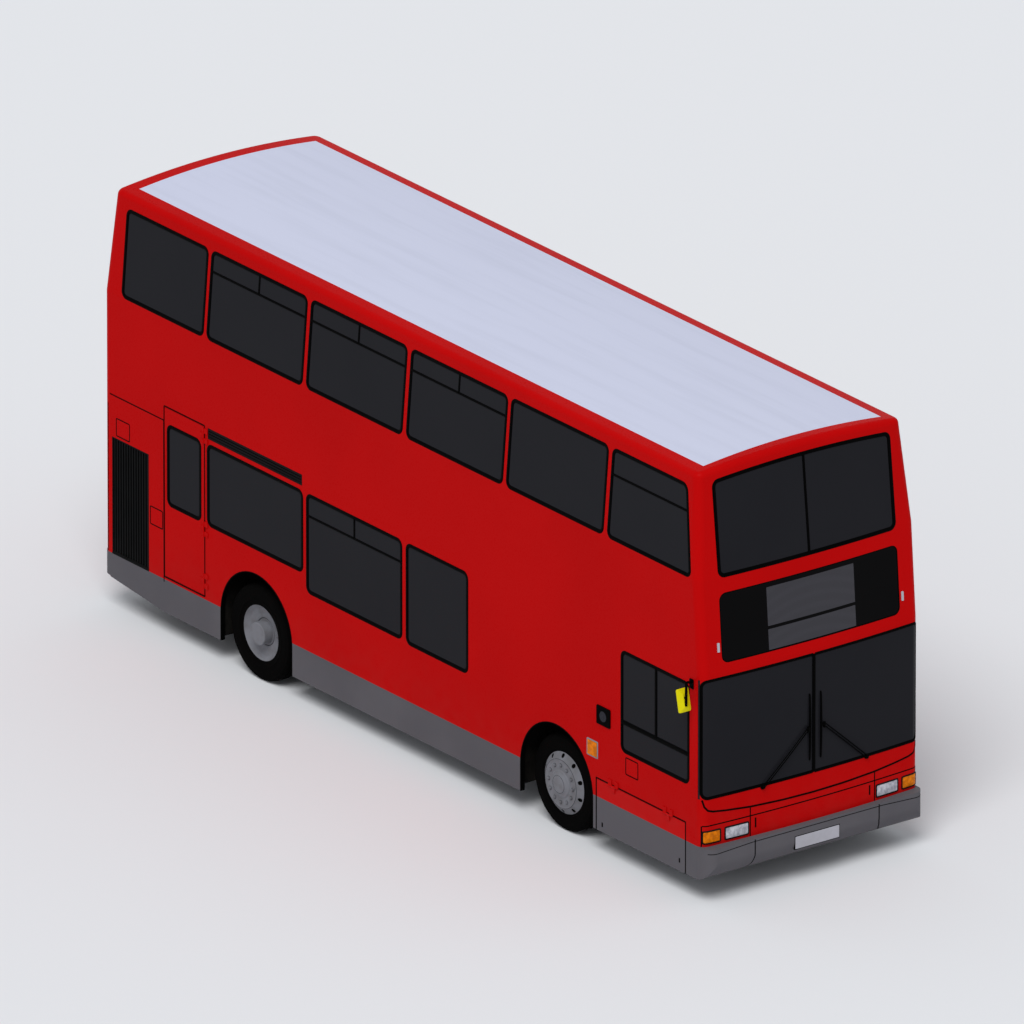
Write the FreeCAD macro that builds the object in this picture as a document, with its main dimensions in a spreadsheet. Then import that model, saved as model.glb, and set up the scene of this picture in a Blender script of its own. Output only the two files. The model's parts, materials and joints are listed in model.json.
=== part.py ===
"""A double-deck bus with two doors, as an assembly of separate pieces.

Millimetres. +X is forward, +Y the nearside (left), +Z up. The origin is on the ground,
under the middle of the bus.
"""

import FreeCAD, Part
import math
import os

from FreeCAD import Placement, Rotation, Vector

doc = FreeCAD.newDocument("DoubleDeckBus")
sheet = doc.addObject("Spreadsheet::Sheet", "Sizes")

# alias, millimetres (or degrees where the name says so), what it is
SIZES = [
    # body shell
    ("body_width", 2550, "overall width of the body sides"),
    ("front_face", 4717, "middle of the bus to the front panel on the centreline"),
    ("rear_face", 4745, "middle of the bus to the rear panel"),
    ("front_bow", 45, "how far the front panel curves back by its corners, in plan"),
    ("corner_radius", 90, "vertical corners of the body in plan"),
    ("wall", 45, "body side, lining to outer skin"),
    ("skirt_bottom", 235, "lower edge of the skirt panels"),
    ("skirt_top", 572, "joint between skirt panels and body sides"),
    ("deck_joint", 2400, "joint between lower and upper side panels"),
    ("rake_start", 2300, "height from which the front leans back"),
    ("taper_start", 3225, "height from which sides and rear lean in"),
    ("loft_top", 4400, "height at which the leans are given"),
    ("front_lean_low", 72, "lean of the front at taper_start"),
    ("front_lean", 196, "lean of the front at loft_top"),
    ("side_lean", 93, "lean of each side at loft_top"),
    ("rear_lean", 92, "lean of the rear at loft_top"),
    ("roof_crown", 4330, "top of the roof on the centreline"),
    ("roof_drop", 91, "fall of the roof from the centreline to the side"),
    ("roof_round", 60, "radius round the roof's edge"),
    ("roof_panel_half", 1040, "half the width of the pale roof panel"),
    ("roof_panel_front", 4373, "front edge of that panel"),
    ("roof_panel_rear", 4478, "rear edge of that panel, behind the middle"),
    ("corner_joint", 4600, "side panels' front edge, lower deck"),
    ("upper_joint", 4450, "side panels' front edge, upper deck"),
    ("rear_joint", 4640, "side panels' rear edge behind the middle, lower deck"),
    ("upper_rear_joint", 4585, "side panels' rear edge behind the middle, upper deck"),
    ("departure_start", 3771, "where the rear skirt starts to rise, behind the middle"),
    ("departure_rise", 100, "how far the rear skirt rises by the rear bumper"),
    # glazing
    ("glass", 8, "thickness of side glass"),
    ("glass_recess", 4, "glass below the outer skin"),
    ("glass_fit", 0.3, "gap round each pane"),
    ("lower_sill", 1148, "lower edge of the lower-deck windows"),
    ("middle_sill", 1162, "lower edge of the window between the rear wheels and the exit"),
    ("lower_head", 2176, "upper edge of the lower-deck windows"),
    ("raised_sill", 1340, "lower edge of the windows over the rear wheels"),
    ("upper_sill", 3234, "lower edge of the upper-deck windows"),
    ("upper_head", 4122, "upper edge of the upper-deck windows"),
    ("window_round", 75, "corner radius of a window"),
    ("screen_bottom", 1047, "lower edge of the windscreen"),
    ("screen_top", 2249, "upper edge of the windscreen"),
    ("screen_post", 26, "width of the post between the windscreen's halves"),
    ("front_window_half", 1041, "half the width of the upper front window"),
    ("front_window_sill", 3216, "lower edge of the upper front window"),
    ("front_window_head", 4169, "upper edge of the upper front window at its ends"),
    ("front_window_rise", 50, "rise of that edge on the centreline"),
    # destination sign
    ("sign_half", 1045, "half the width of the destination sign's glass"),
    ("sign_bottom", 2380, "its lower edge"),
    ("sign_top", 3066, "its upper edge"),
    ("sign_depth", 260, "depth of the sign's case behind the skin"),
    # running gear
    ("front_axle", 2412, "front axle ahead of the middle"),
    ("rear_axle", 2315, "rear axle behind the middle"),
    ("tyre_radius", 479, "tyre, ground to axle"),
    ("tyre_width", 275, "tyre, side to side"),
    ("rim_radius", 299, "rim at its flange"),
    ("rim_bore", 262, "inside of the rim's barrel"),
    ("front_tyre_inset", 75, "front tyre inside the body side"),
    ("rear_tyre_inset", 35, "outer rear tyre inside the body side"),
    ("twin_gap", 45, "between the two rear tyres"),
    ("kingpin_y", 960, "kingpin from the centreline"),
    ("kingpin_radius", 25, "kingpin"),
    ("bearing_gap", 0.08, "running clearance at pins and bearings"),
    ("hub_radius", 130, "wheel hub drum"),
    ("hub_cap_front", 197, "front hub's cap outside its tyre's middle plane"),
    ("hub_cap_rear", 163, "rear hub's cap outside the outer tyre's middle plane"),
    ("spindle_radius", 40, "stub axle"),
    ("axle_tube", 70, "rear axle's tube, radius"),
    ("arch_radius", 562, "wheel opening in the body side"),
    ("arch_top", 1087, "top of that opening"),
    ("liner_gap_front", 625, "front wheel box, half its length"),
    ("liner_gap_rear", 566, "rear wheel box, half its length"),
    ("liner_wall", 6, "sheet of the wheel boxes"),
    ("liner_inner_front", 545, "inner wall of the front wheel box from the centreline"),
    ("liner_inner_rear", 590, "inner wall of the rear wheel box from the centreline"),
    ("rail_y", 330, "chassis rail from the centreline"),
    ("rail_width", 60, "chassis rail"),
    ("rail_height", 60, "chassis rail"),
    ("cross_height", 30, "crossmembers on the rails"),
    # floors
    ("floor_top", 360, "lower deck's floor"),
    ("floor_thick", 30, "lower deck's floor"),
    ("platform_top", 700, "raised floor over the rear axle"),
    ("platform_front", 1600, "front edge of the raised floor, behind the middle"),
    ("bulkhead", 3800, "engine bulkhead behind the middle"),
    ("upper_floor_top", 2390, "upper deck's floor"),
    ("upper_floor_thick", 100, "upper deck's floor"),
    ("stairwell_rear", 1350, "stairwell opening"),
    ("stairwell_front", 2980, "stairwell opening"),
    ("stair_width", 620, "staircase"),
    ("stair_foot", 980, "foot of the stairs ahead of the middle"),
    # doors
    ("door_gap", 6, "gap round each door leaf"),
    ("door_thick", 38, "door leaf"),
    ("door_head", 2190, "top of the passenger door openings"),
    ("door_sill", 366, "bottom of the passenger door openings"),
    ("entrance_rear", 3215, "entrance opening"),
    ("entrance_front", 4425, "entrance opening"),
    ("exit_rear", 50, "exit opening"),
    ("exit_front", 1250, "exit opening"),
    ("door_rail", 62, "frame round a door leaf's glass"),
    ("escape_rear", 3771, "emergency door's rear edge, behind the middle"),
    ("escape_front", 3137, "emergency door's front edge, behind the middle"),
    ("escape_sill", 605, "emergency door"),
    ("escape_head", 2336, "emergency door"),
    ("shaft_radius", 14, "upright shaft that carries a passenger door leaf"),
    ("shaft_inset", 20, "shaft's middle inside the body's lining"),
    ("hinge_radius", 8, "outside hinges of the emergency door and flaps"),
    ("hinge_out", 10, "their pin outside the skin"),
    ("seat_gap", 0.3, "end clearance at hinges and shafts"),
    ("flap_rear", 3035, "side flap"),
    ("flap_front", 4413, "side flap"),
    ("flap_top", 752, "side flap"),
    ("lid_half", 860, "engine cover, half its width"),
    ("lid_bottom", 600, "engine cover"),
    ("lid_top", 1850, "engine cover"),
    ("tow_bore", 22, "radius of the tow eye's bore"),
    # bumpers and lamps
    ("bumper_out", 58, "front bumper ahead of the front panel"),
    ("rear_bumper_out", 30, "rear bumper behind the rear panel"),
    ("bumper_bottom", 245, "front bumper"),
    ("bumper_tuck", 190, "round under the front bumper"),
    ("rear_bumper_bottom", 335, "rear bumper"),
    ("lamp_bottom", 600, "front lamps"),
    ("lamp_top", 730, "front lamps"),
    ("lamp_depth", 40, "lamp behind the skin"),
]

for row, (alias, value, note) in enumerate(SIZES, 1):
    sheet.set(f"A{row}", alias)
    sheet.set(f"B{row}", str(value))
    sheet.set(f"C{row}", note)
    sheet.setAlias(f"B{row}", alias)
doc.recompute()


class Length:
    """A size with its value and the sheet's expression for it, so both follow one sum."""

    def __init__(self, value, text):
        self.value = float(value)
        self.text = text

    def _with(self, other, sign, result, swap=False):
        other_text = other.text if isinstance(other, Length) else repr(float(other))
        left, right = (other_text, self.text) if swap else (self.text, other_text)
        return Length(result, f"({left} {sign} {right})")

    def __add__(self, other):
        return self._with(other, "+", self.value + float(other))

    def __radd__(self, other):
        return self._with(other, "+", float(other) + self.value, swap=True)

    def __sub__(self, other):
        return self._with(other, "-", self.value - float(other))

    def __rsub__(self, other):
        return self._with(other, "-", float(other) - self.value, swap=True)

    def __mul__(self, other):
        return self._with(other, "*", self.value * float(other))

    __rmul__ = __mul__

    def __truediv__(self, other):
        return self._with(other, "/", self.value / float(other))

    def __neg__(self):
        return self * -1

    def __float__(self):
        return self.value


class Sheet:
    """Reads a size by its alias."""

    def __getattr__(self, alias):
        return Length(sheet.get(alias), "Sizes." + alias)


S = Sheet()
HALF = S.body_width / 2
INNER = HALF - S.wall
OFFSIDE, NEARSIDE = -1, 1
FAR = 2000  # how far a cutting prism runs past the body
nodes = []


# ---------------------------------------------------------------- helpers


def bind(thing, prop, length):
    """Sets a property from a size: by expression where it has one."""
    if isinstance(length, Length):
        thing.setExpression(prop, length.text)
    elif "." in prop:
        thing.setExpression(prop, repr(float(length)))
    else:
        setattr(thing, prop, float(length))


def place(thing, x, y, z):
    for axis, length in zip("xyz", (x, y, z)):
        bind(thing, f"Placement.Base.{axis}", length)


def node(thing, label):
    """Marks a document object as a sub-part with that label."""
    thing.Label = label
    nodes.append(thing)
    return thing


def shaped(label, shape):
    """A sub-part whose shape comes from Part's own functions."""
    thing = doc.addObject("Part::Feature", "Shape")
    thing.Shape = shape
    return node(thing, label)


def box(x0, x1, y0, y1, z0, z1):
    thing = doc.addObject("Part::Box", "Box")
    bind(thing, "Length", x1 - x0)
    bind(thing, "Width", y1 - y0)
    bind(thing, "Height", z1 - z0)
    place(thing, x0, y0, z0)
    return thing


TURNS = {"x": Rotation(Vector(0, 1, 0), 90), "y": Rotation(Vector(1, 0, 0), -90), "z": Rotation()}


def cylinder(axis, radius, start, length, x=0.0, y=0.0, z=0.0):
    """A cylinder along an axis, from start on that axis."""
    thing = doc.addObject("Part::Cylinder", "Cylinder")
    bind(thing, "Radius", radius)
    bind(thing, "Height", length)
    thing.Placement = Placement(Vector(), TURNS[axis])
    at = {"x": x, "y": y, "z": z}
    at[axis] = start
    place(thing, at["x"], at["y"], at["z"])
    return thing


def fuse(*things):
    joined = doc.addObject("Part::MultiFuse", "Fuse")
    joined.Shapes = list(things)
    joined.Refine = True
    return joined


def cut(base, *tools):
    tool = tools[0] if len(tools) == 1 else fuse(*tools)
    result = doc.addObject("Part::Cut", "Cut")
    result.Base, result.Tool = base, tool
    return result


def compound(*things):
    group = doc.addObject("Part::Compound", "Group")
    group.Links = list(things)
    return group


def rounded(a0, a1, b0, b1, radius, point):
    """A rounded rectangle's wire. point turns its two coordinates into a vector."""
    a0, a1, b0, b1, r = (float(v) for v in (a0, a1, b0, b1, radius))
    k = r * (1 - math.sqrt(0.5))
    corners = [
        ((a0, b0 + r), (a0 + k, b0 + k), (a0 + r, b0)),
        ((a1 - r, b0), (a1 - k, b0 + k), (a1, b0 + r)),
        ((a1, b1 - r), (a1 - k, b1 - k), (a1 - r, b1)),
        ((a0 + r, b1), (a0 + k, b1 - k), (a0, b1 - r)),
    ]
    edges = []
    for n, corner in enumerate(corners):
        start, middle, end = (point(*p) for p in corner)
        edges.append(Part.Arc(start, middle, end).toShape())
        edges.append(Part.LineSegment(end, point(*corners[(n + 1) % 4][0])).toShape())
    return Part.Wire(edges)


def side_prism(x0, x1, z0, z1, side, radius=None, inner=700, rake=0.0):
    """A rounded window or door prism through one body side, its front edge leaning back by rake."""
    middle, bottom = (float(x0) + float(x1)) / 2, float(z0)

    def point(a, b):
        lean = rake * (b - bottom) if a > middle else 0.0
        return Vector(a - lean, side * inner, b)

    wire = rounded(x0, x1, z0, z1, radius or S.window_round, point)
    return Part.Face(wire).extrude(Vector(0, side * (FAR - inner), 0))


def slab(x0, x1, y0, y1, z0, z1):
    """A plain block as a bare shape, from its corners."""
    x0, x1, y0, y1, z0, z1 = (float(v) for v in (x0, x1, y0, y1, z0, z1))
    return Part.makeBox(x1 - x0, y1 - y0, z1 - z0, Vector(x0, y0, z0))


def solids(shape):
    """The same shape as a clean compound of its solids."""
    return Part.makeCompound(shape.Solids) if len(shape.Solids) > 1 else shape.Solids[0]


# ---------------------------------------------------------------- body shell

# height, lean of the front, of the rear, of each side
LEVELS = [
    (S.skirt_bottom, 0, 0, 0),
    (S.rake_start, 0, 0, 0),
    (S.taper_start, S.front_lean_low, 0, 0),
    (S.loft_top, S.front_lean, S.rear_lean, S.side_lean),
]


def outline(height, front_lean, rear_lean, side_lean, inset):
    """The body's plan at a height, its front bowed, set in from the outer skin."""
    height, inset = float(height), float(inset)
    front = float(S.front_face) - float(front_lean) - inset
    rear = -float(S.rear_face) + float(rear_lean) + inset
    half = float(HALF) - float(side_lean) - inset
    r = float(S.corner_radius) - inset
    k = r * (1 - math.sqrt(0.5))
    bow = front - float(S.front_bow)
    corners = [
        ((rear, -half + r), (rear + k, -half + k), (rear + r, -half)),
        ((bow - r, -half), (bow - k, -half + k), (bow, -half + r)),
        ((bow, half - r), (bow - k, half - k), (bow - r, half)),
        ((rear + r, half), (rear + k, half - k), (rear, half - r)),
    ]
    edges = []
    for n, corner in enumerate(corners):
        start, middle, end = (Vector(a, b, height) for a, b in corner)
        after = Vector(*corners[(n + 1) % 4][0], height)
        edges.append(Part.Arc(start, middle, end).toShape())
        if n == 1:
            edges.append(Part.Arc(end, Vector(front, 0, height), after).toShape())
        else:
            edges.append(Part.LineSegment(end, after).toShape())
    return Part.Wire(edges)


def body(inset, below=0.0):
    """The body's outer form with its cambered roof, set in from the skin."""
    inset = float(inset)
    levels = [list(row) for row in LEVELS]
    levels[0][0] = float(S.skirt_bottom) - below
    form = Part.makeLoft([outline(*row, inset) for row in levels], True, True)
    crown = float(S.roof_crown) - inset
    half, drop = float(HALF), float(S.roof_drop)
    reach = half + 300
    radius = (half**2 + drop**2) / (2 * drop)
    low = crown - (radius - math.sqrt(radius**2 - reach**2))
    x = -FAR * 3
    top = Part.Arc(Vector(x, -reach, low), Vector(x, 0, crown), Vector(x, reach, low)).toShape()
    legs = [Vector(x, reach, low), Vector(x, reach, 0), Vector(x, -reach, 0), Vector(x, -reach, low)]
    under = Part.Face(Part.Wire([top] + Part.makePolygon(legs).Edges)).extrude(Vector(FAR * 6, 0, 0))
    form = form.common(under)
    if inset < float(S.roof_round) / 2:
        rim = [e for e in form.Edges if e.BoundBox.ZMin > crown - 2 * drop]
        form = form.makeFillet(float(S.roof_round) - inset, rim)
    return form.Solids[0]


skin = body(0)
room = body(S.wall, below=100)
shell = skin.cut(room)
pane_front = body(S.glass_recess)
glazing = pane_front.cut(body(S.glass_recess + S.glass))

# ---------------------------------------------------------------- outside hinges

HINGE_LENGTH = 50  # each of a hinge's three barrels


def hinge(middle, along, outward, to_body, fixed):
    """One part of an outside hinge: the two end barrels and strap fixed to the body, or the
    middle barrel and strap on the door. middle is on the pin, the other three are directions."""
    r, out = float(S.hinge_radius), float(S.hinge_out)
    starts = [(-1.5 * HINGE_LENGTH, -HINGE_LENGTH / 2), (HINGE_LENGTH / 2, 1.5 * HINGE_LENGTH)]
    if not fixed:
        gap = float(S.seat_gap)
        starts = [(-HINGE_LENGTH / 2 + gap, HINGE_LENGTH / 2 - gap)]
    toward = to_body if fixed else to_body * -1
    pieces = []
    for a, b in starts:
        pieces.append(Part.makeCylinder(r, b - a, middle + along * a, along))
        # The strap lies on the skin, from the pin to 60 mm beyond the panel's edge.
        low, high = middle + along * a, middle + along * b
        corners = [low - outward * out, low, low + toward * 60, low + toward * 60 - outward * out]
        face = Part.Face(Part.makePolygon(corners + corners[:1]))
        pieces.append(face.extrude(high - low))
    return pieces


UP, FORWARD = Vector(0, 0, 1), Vector(1, 0, 0)
ESCAPE_PIN = (-float(S.escape_front), -float(HALF) - float(S.hinge_out))
FLAP_PIN = (-float(HALF) - float(S.hinge_out), float(S.flap_top))
LID_PIN = (-float(S.rear_face) - float(S.hinge_out), float(S.lid_top) + float(S.door_gap))
# Hinges: middle, along the pin, outward, from the door to the body
ESCAPE_HINGES = [(Vector(*ESCAPE_PIN, z), UP, Vector(0, -1, 0), FORWARD) for z in (760, 1290, 2240)]
FLAP_HINGES = [(Vector(x, *FLAP_PIN), FORWARD, Vector(0, -1, 0), UP) for x in (3300, 4150)]
ASIDE, BACKWARD = Vector(0, 1, 0), Vector(-1, 0, 0)
LID_HINGES = [(Vector(LID_PIN[0], y, LID_PIN[1]), ASIDE, BACKWARD, UP) for y in (-600, 600)]


def hinged(shape, hinges, fixed):
    """A panel or door with its part of each hinge."""
    pieces = [piece for row in hinges for piece in hinge(*row, fixed)]
    return solids(shape.fuse(pieces))


# ---------------------------------------------------------------- sides and roof

# Side windows: rear edge, front edge; the rows below add sill and head
UPPER_BAYS = [(-4452, -3149), (-3103, -1580), (-1527, -8), (48, 1565), (1614, 3133)]
FOREMOST_BAY = (3189, 4494)  # its front edge taken at the sill
FRONT_RAKE = 0.16  # how far that edge leans back for each unit of height
REAR_BAY = (-3094, -1571)
MIDDLE_BAY = (-1522, -8)
OFFSIDE_BAY = (50, 1027)
CAB_BAY = (3410, 4474)
NEARSIDE_BAY = (1345, 3110)
REAR_QUARTER_BAY = (-3724, -3200)
LOWER_WINDOWS = {
    OFFSIDE: [
        (*REAR_BAY, S.raised_sill, S.lower_head),
        (*MIDDLE_BAY, S.middle_sill, S.lower_head),
        (*OFFSIDE_BAY, S.lower_sill, S.lower_head),
        (*CAB_BAY, S.lower_sill, S.lower_head),
    ],
    NEARSIDE: [
        (*REAR_QUARTER_BAY, S.raised_sill, S.lower_head),
        (*REAR_BAY, S.raised_sill, S.lower_head),
        (*MIDDLE_BAY, S.middle_sill, S.lower_head),
        (*NEARSIDE_BAY, S.lower_sill, S.lower_head),
    ],
}
FOREMOST_WINDOW = (*FOREMOST_BAY, S.upper_sill, S.upper_head, FRONT_RAKE)
UPPER_WINDOWS = [(x0, x1, S.upper_sill, S.upper_head) for x0, x1 in UPPER_BAYS] + [FOREMOST_WINDOW]


def window_prisms(rows, side, fit=0.0):
    """The prisms of a row of side windows, smaller by fit all round."""
    prisms = []
    for x0, x1, z0, z1, *rest in rows:
        edges = (x0 + fit, x1 - fit, z0 + fit, z1 - fit)
        radius = float(S.window_round) - fit
        rake = rest[0] if rest else 0.0
        prisms.append(side_prism(*edges, side, radius, rake=rake))
    return prisms


def arch_prism(x, side):
    """The round-topped wheel opening through one body side."""
    r, top = float(S.arch_radius), float(S.arch_top)
    y = side * 700
    points = [Vector(x - r, y, top - r), Vector(x, y, top), Vector(x + r, y, top - r)]
    arc = Part.Arc(*points).toShape()
    legs = Part.makePolygon([points[2], Vector(x + r, y, 0), Vector(x - r, y, 0), points[0]])
    return Part.Face(Part.Wire([arc] + legs.Edges)).extrude(Vector(0, side * (FAR - 700), 0))


FRONT_WHEEL_X, REAR_WHEEL_X = float(S.front_axle), -float(S.rear_axle)
ROOF_EDGE = S.upper_head + 60  # the ends of the roof, outside the pale panel, start here


def across(z0, z1, x0=-FAR * 3, x1=FAR * 3, half=FAR):
    """Everything between two heights, and between two stations."""
    return slab(x0, x1, -half, half, z0, z1)


front_zone = across(0, S.screen_top, S.corner_joint).fuse(across(S.screen_top, FAR * 3, S.upper_joint))
front_zone = front_zone.fuse(across(ROOF_EDGE, FAR * 3, S.roof_panel_front, half=S.roof_panel_half))
rear_zone = across(0, S.deck_joint, x1=-S.rear_joint)
rear_zone = rear_zone.fuse(across(S.deck_joint, FAR * 3, x1=-S.upper_rear_joint))
rear_zone = rear_zone.fuse(across(ROOF_EDGE, FAR * 3, x1=-S.roof_panel_rear, half=S.roof_panel_half))
front_shell = shell.common(front_zone)
rear_shell = shell.common(rear_zone)
sides = shell.cut(front_zone).cut(rear_zone)
roof_zone = across(S.upper_head, FAR * 3, half=S.roof_panel_half)
shaped("roof_panel", solids(sides.common(roof_zone)))
sides = sides.cut(roof_zone)


def door_prism(x0, x1, z0, z1, side, inner=700):
    """A square-cornered opening through one body side."""
    y0, y1 = sorted((side * float(inner), side * float(FAR)))
    return slab(x0, x1, y0, y1, z0, z1)


# Grilles in the offside: rear edge, front edge, sill, head
RADIATOR = (-4610, -4022, 584, 1765)
LOUVRE = (-3082, -1586, 2223, 2336)
skirts = []
for side, name in ((OFFSIDE, "offside"), (NEARSIDE, "nearside")):
    half_space = slab(-FAR * 3, FAR * 3, *sorted((0, side * FAR)), 0, FAR * 3)
    openings = window_prisms(LOWER_WINDOWS[side] + UPPER_WINDOWS, side)
    openings += [arch_prism(x, side) for x in (FRONT_WHEEL_X, REAR_WHEEL_X)]
    if side == OFFSIDE:
        openings.append(door_prism(-S.escape_rear, -S.escape_front, S.escape_sill, S.escape_head, side))
        openings.append(door_prism(S.flap_rear, S.flap_front, 0, S.flap_top, side))
        openings += [door_prism(*row, side) for row in (RADIATOR, LOUVRE)]
    else:
        openings.append(door_prism(S.entrance_rear, S.entrance_front, S.door_sill, S.door_head, side))
        openings.append(door_prism(S.exit_rear, S.exit_front, S.door_sill, S.door_head, side))
    wall = sides.common(half_space).cut(openings)
    shaped(f"side_upper_{name}", solids(wall.common(across(S.deck_joint, FAR * 3))))
    lower = wall.common(across(S.skirt_top, S.deck_joint))
    if side == OFFSIDE:
        lower = hinged(lower, ESCAPE_HINGES + FLAP_HINGES, True)
    shaped(f"side_lower_{name}", solids(lower))
    skirts += wall.common(across(0, S.skirt_top)).Solids

# The rear skirt's lower edge rises towards the rear bumper.
start, end, low = -S.departure_start, -S.rear_face, S.skirt_bottom
wedge = [(start, low), (end, low + S.departure_rise), (end, low - 10), (start, low - 10), (start, low)]
wedge = Part.Face(Part.makePolygon([Vector(float(x), -FAR, float(z)) for x, z in wedge]))
wedge = wedge.extrude(Vector(0, FAR * 2, 0))
shaped("skirts", Part.makeCompound([skirt.cut(wedge).Solids[0] for skirt in skirts]))

# ---------------------------------------------------------------- front and rear ends


def end_prism(y0, y1, z0, z1, facing, radius=None, rise=0.0):
    """A prism through the front (facing 1) or rear (facing -1), its head raised in the middle by rise."""
    x = facing * 4000
    wire = rounded(y0, y1, z0, z1, radius or S.window_round, lambda a, b: Vector(x, a, b))
    prism = Part.Face(wire).extrude(Vector(facing * FAR, 0, 0))
    if rise:
        ends = [Vector(x, float(y), float(z1)) for y in (y0 + S.window_round, 0, y1 - S.window_round)]
        ends[1].z += float(rise)
        head = Part.Wire([Part.Arc(*ends).toShape(), Part.LineSegment(ends[2], ends[0]).toShape()])
        prism = prism.fuse(Part.Face(head).extrude(Vector(facing * FAR, 0, 0)))
    return prism


FIT = float(S.glass_fit)


def fitted(y0, y1, z0, z1):
    """An opening's edges drawn in by the glass's fit."""
    return float(y0) + FIT, float(y1) - FIT, float(z0) + FIT, float(z1) - FIT


FRONT_WINDOW = (-S.front_window_half, S.front_window_half, S.front_window_sill, S.front_window_head)
SIGN = (-S.sign_half, S.sign_half, S.sign_bottom, S.sign_top)
REAR_WINDOW = (-930, 930, 3300, 4020)
PANE_ROUND = float(S.window_round) - FIT
upper_front = front_shell.common(across(S.screen_top, FAR * 3))
openings = [end_prism(*FRONT_WINDOW, 1, rise=S.front_window_rise), end_prism(*SIGN, 1)]
for side in (OFFSIDE, NEARSIDE):
    openings += window_prisms([FOREMOST_WINDOW], side)
upper_front = upper_front.cut(openings)
post_half = S.screen_post / 2
post = slab(S.corner_joint, FAR * 3, -post_half, post_half, S.screen_bottom, S.screen_top)
post = post.common(skin.cut(body(60)))
shaped("front_upper", solids(upper_front.fuse(post)))

screen = pane_front.cut(body(S.glass_recess + 10))
screen = screen.common(across(S.screen_bottom + FIT, S.screen_top - FIT, S.corner_joint + FIT))
screen = screen.cut(slab(0, FAR * 3, -post_half - FIT, post_half + FIT, 0, FAR * 3))
shaped("windscreen", solids(screen))

# Lamps: inner and outer edge from the centreline, lower and upper edge, facing
LAMPS = [
    (744, 1020, S.lamp_bottom, S.lamp_top, 1),
    (1060, 1256, S.lamp_bottom, S.lamp_top, 1),
    (985, 1140, 1150, 1830, -1),
]
lamp_shell = skin.cut(body(S.lamp_depth))
lamps, lamp_holes = [], []
for y0, y1, z0, z1, facing in LAMPS:
    for side in (OFFSIDE, NEARSIDE):
        near, far = (S.corner_joint, FAR * 3) if facing == 1 else (-FAR * 3, -S.rear_joint)
        hole = slab(near, far, *sorted((side * y0, side * y1)), z0, z1)
        lamp_holes.append(hole)
        lamps.append(lamp_shell.common(hole).Solids[0])
shaped("lamps", Part.makeCompound(lamps))
shaped("front_lower", solids(front_shell.common(across(S.skirt_top, S.screen_bottom)).cut(lamp_holes)))

GAP = S.door_gap
lid_hole = slab(-FAR * 3, -4000, -S.lid_half - GAP, S.lid_half + GAP, S.lid_bottom - GAP, S.lid_top + GAP)
rear = rear_shell.cut([end_prism(*REAR_WINDOW, -1), lid_hole] + lamp_holes)
shaped("rear_panel", hinged(rear.common(across(S.skirt_top, FAR * 3)), LID_HINGES, True))
lid = skin.cut(body(35)).common(slab(-FAR * 3, -4000, -S.lid_half, S.lid_half, S.lid_bottom, S.lid_top))
shaped("engine_cover", hinged(lid, LID_HINGES, False))

# ---------------------------------------------------------------- glass

panes = []
for side in (OFFSIDE, NEARSIDE):
    for prism in window_prisms(LOWER_WINDOWS[side] + UPPER_WINDOWS, side, FIT):
        panes.append(glazing.common(prism).Solids[0])
panes.append(glazing.common(end_prism(*fitted(*FRONT_WINDOW), 1, rise=S.front_window_rise)).Solids[0])
panes.append(glazing.common(end_prism(*fitted(*REAR_WINDOW), -1, PANE_ROUND)).Solids[0])
shaped("windows", Part.makeCompound(panes))

sign_case = pane_front.common(end_prism(*fitted(*SIGN), 1, PANE_ROUND))
shaped("destination_sign", solids(sign_case.common(across(0, FAR * 3, S.front_face - S.sign_depth))))

# ---------------------------------------------------------------- bumpers


BUMPER_BACK = 475  # how far back from its face a bumper's block starts
BUMPER_CORNER = 120  # its corners in plan


def bumper(end, low, facing):
    """A bumper wrapped round one end of the body, and the space inside it."""
    x0, x1 = sorted((facing * float(end), facing * (float(end) - BUMPER_BACK)))
    wire = rounded(x0, x1, -HALF, HALF, BUMPER_CORNER, lambda a, b: Vector(a, b, float(low)))
    block = Part.Face(wire).extrude(Vector(0, 0, float(S.skirt_top) - float(low)))
    joint = S.corner_joint if facing == 1 else -S.rear_joint
    return block.common(across(0, FAR * 3, *sorted((float(joint), facing * FAR * 3))))


def tucked(inset):
    """Everything behind the front bumper's face and over its rounded underside."""
    end = float(S.front_face + S.bumper_out)
    low = float(S.bumper_bottom)
    tuck = float(S.bumper_tuck)
    r = tuck - inset
    points = []
    for turn in (0, 45, 90):
        lean = math.radians(turn)
        points.append(Vector(end - tuck + r * math.sin(lean), -FAR, low + tuck - r * math.cos(lean)))
    x, top = float(S.corner_joint) - BUMPER_BACK, float(S.skirt_top) + tuck
    corners = [Vector(points[2].x, -FAR, top), Vector(x, -FAR, top), Vector(x, -FAR, points[0].z)]
    legs = Part.makePolygon([points[2]] + corners + [points[0]])
    wire = Part.Wire([Part.Arc(*points).toShape()] + legs.Edges)
    return Part.Face(wire).extrude(Vector(0, FAR * 2, 0))


front_bumper = bumper(S.front_face + S.bumper_out, S.bumper_bottom, 1).common(tucked(0))
front_bumper = front_bumper.cut(room.common(tucked(float(S.wall))))
rear_bumper = bumper(S.rear_face + S.rear_bumper_out, S.rear_bumper_bottom, -1).cut(room)
shaped("bumpers", Part.makeCompound([front_bumper.Solids[0], rear_bumper.Solids[0]]))

# ---------------------------------------------------------------- chassis

RAIL_IN, RAIL_OUT = S.rail_y, S.rail_y + S.rail_width
RAIL_TOP = S.floor_top - S.floor_thick  # also the top of the crossmembers
RAIL_SEAT = RAIL_TOP - S.cross_height
RAIL_LOW = RAIL_SEAT - S.rail_height
FRAME_REAR, FRAME_FRONT = -4560, 4560

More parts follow.
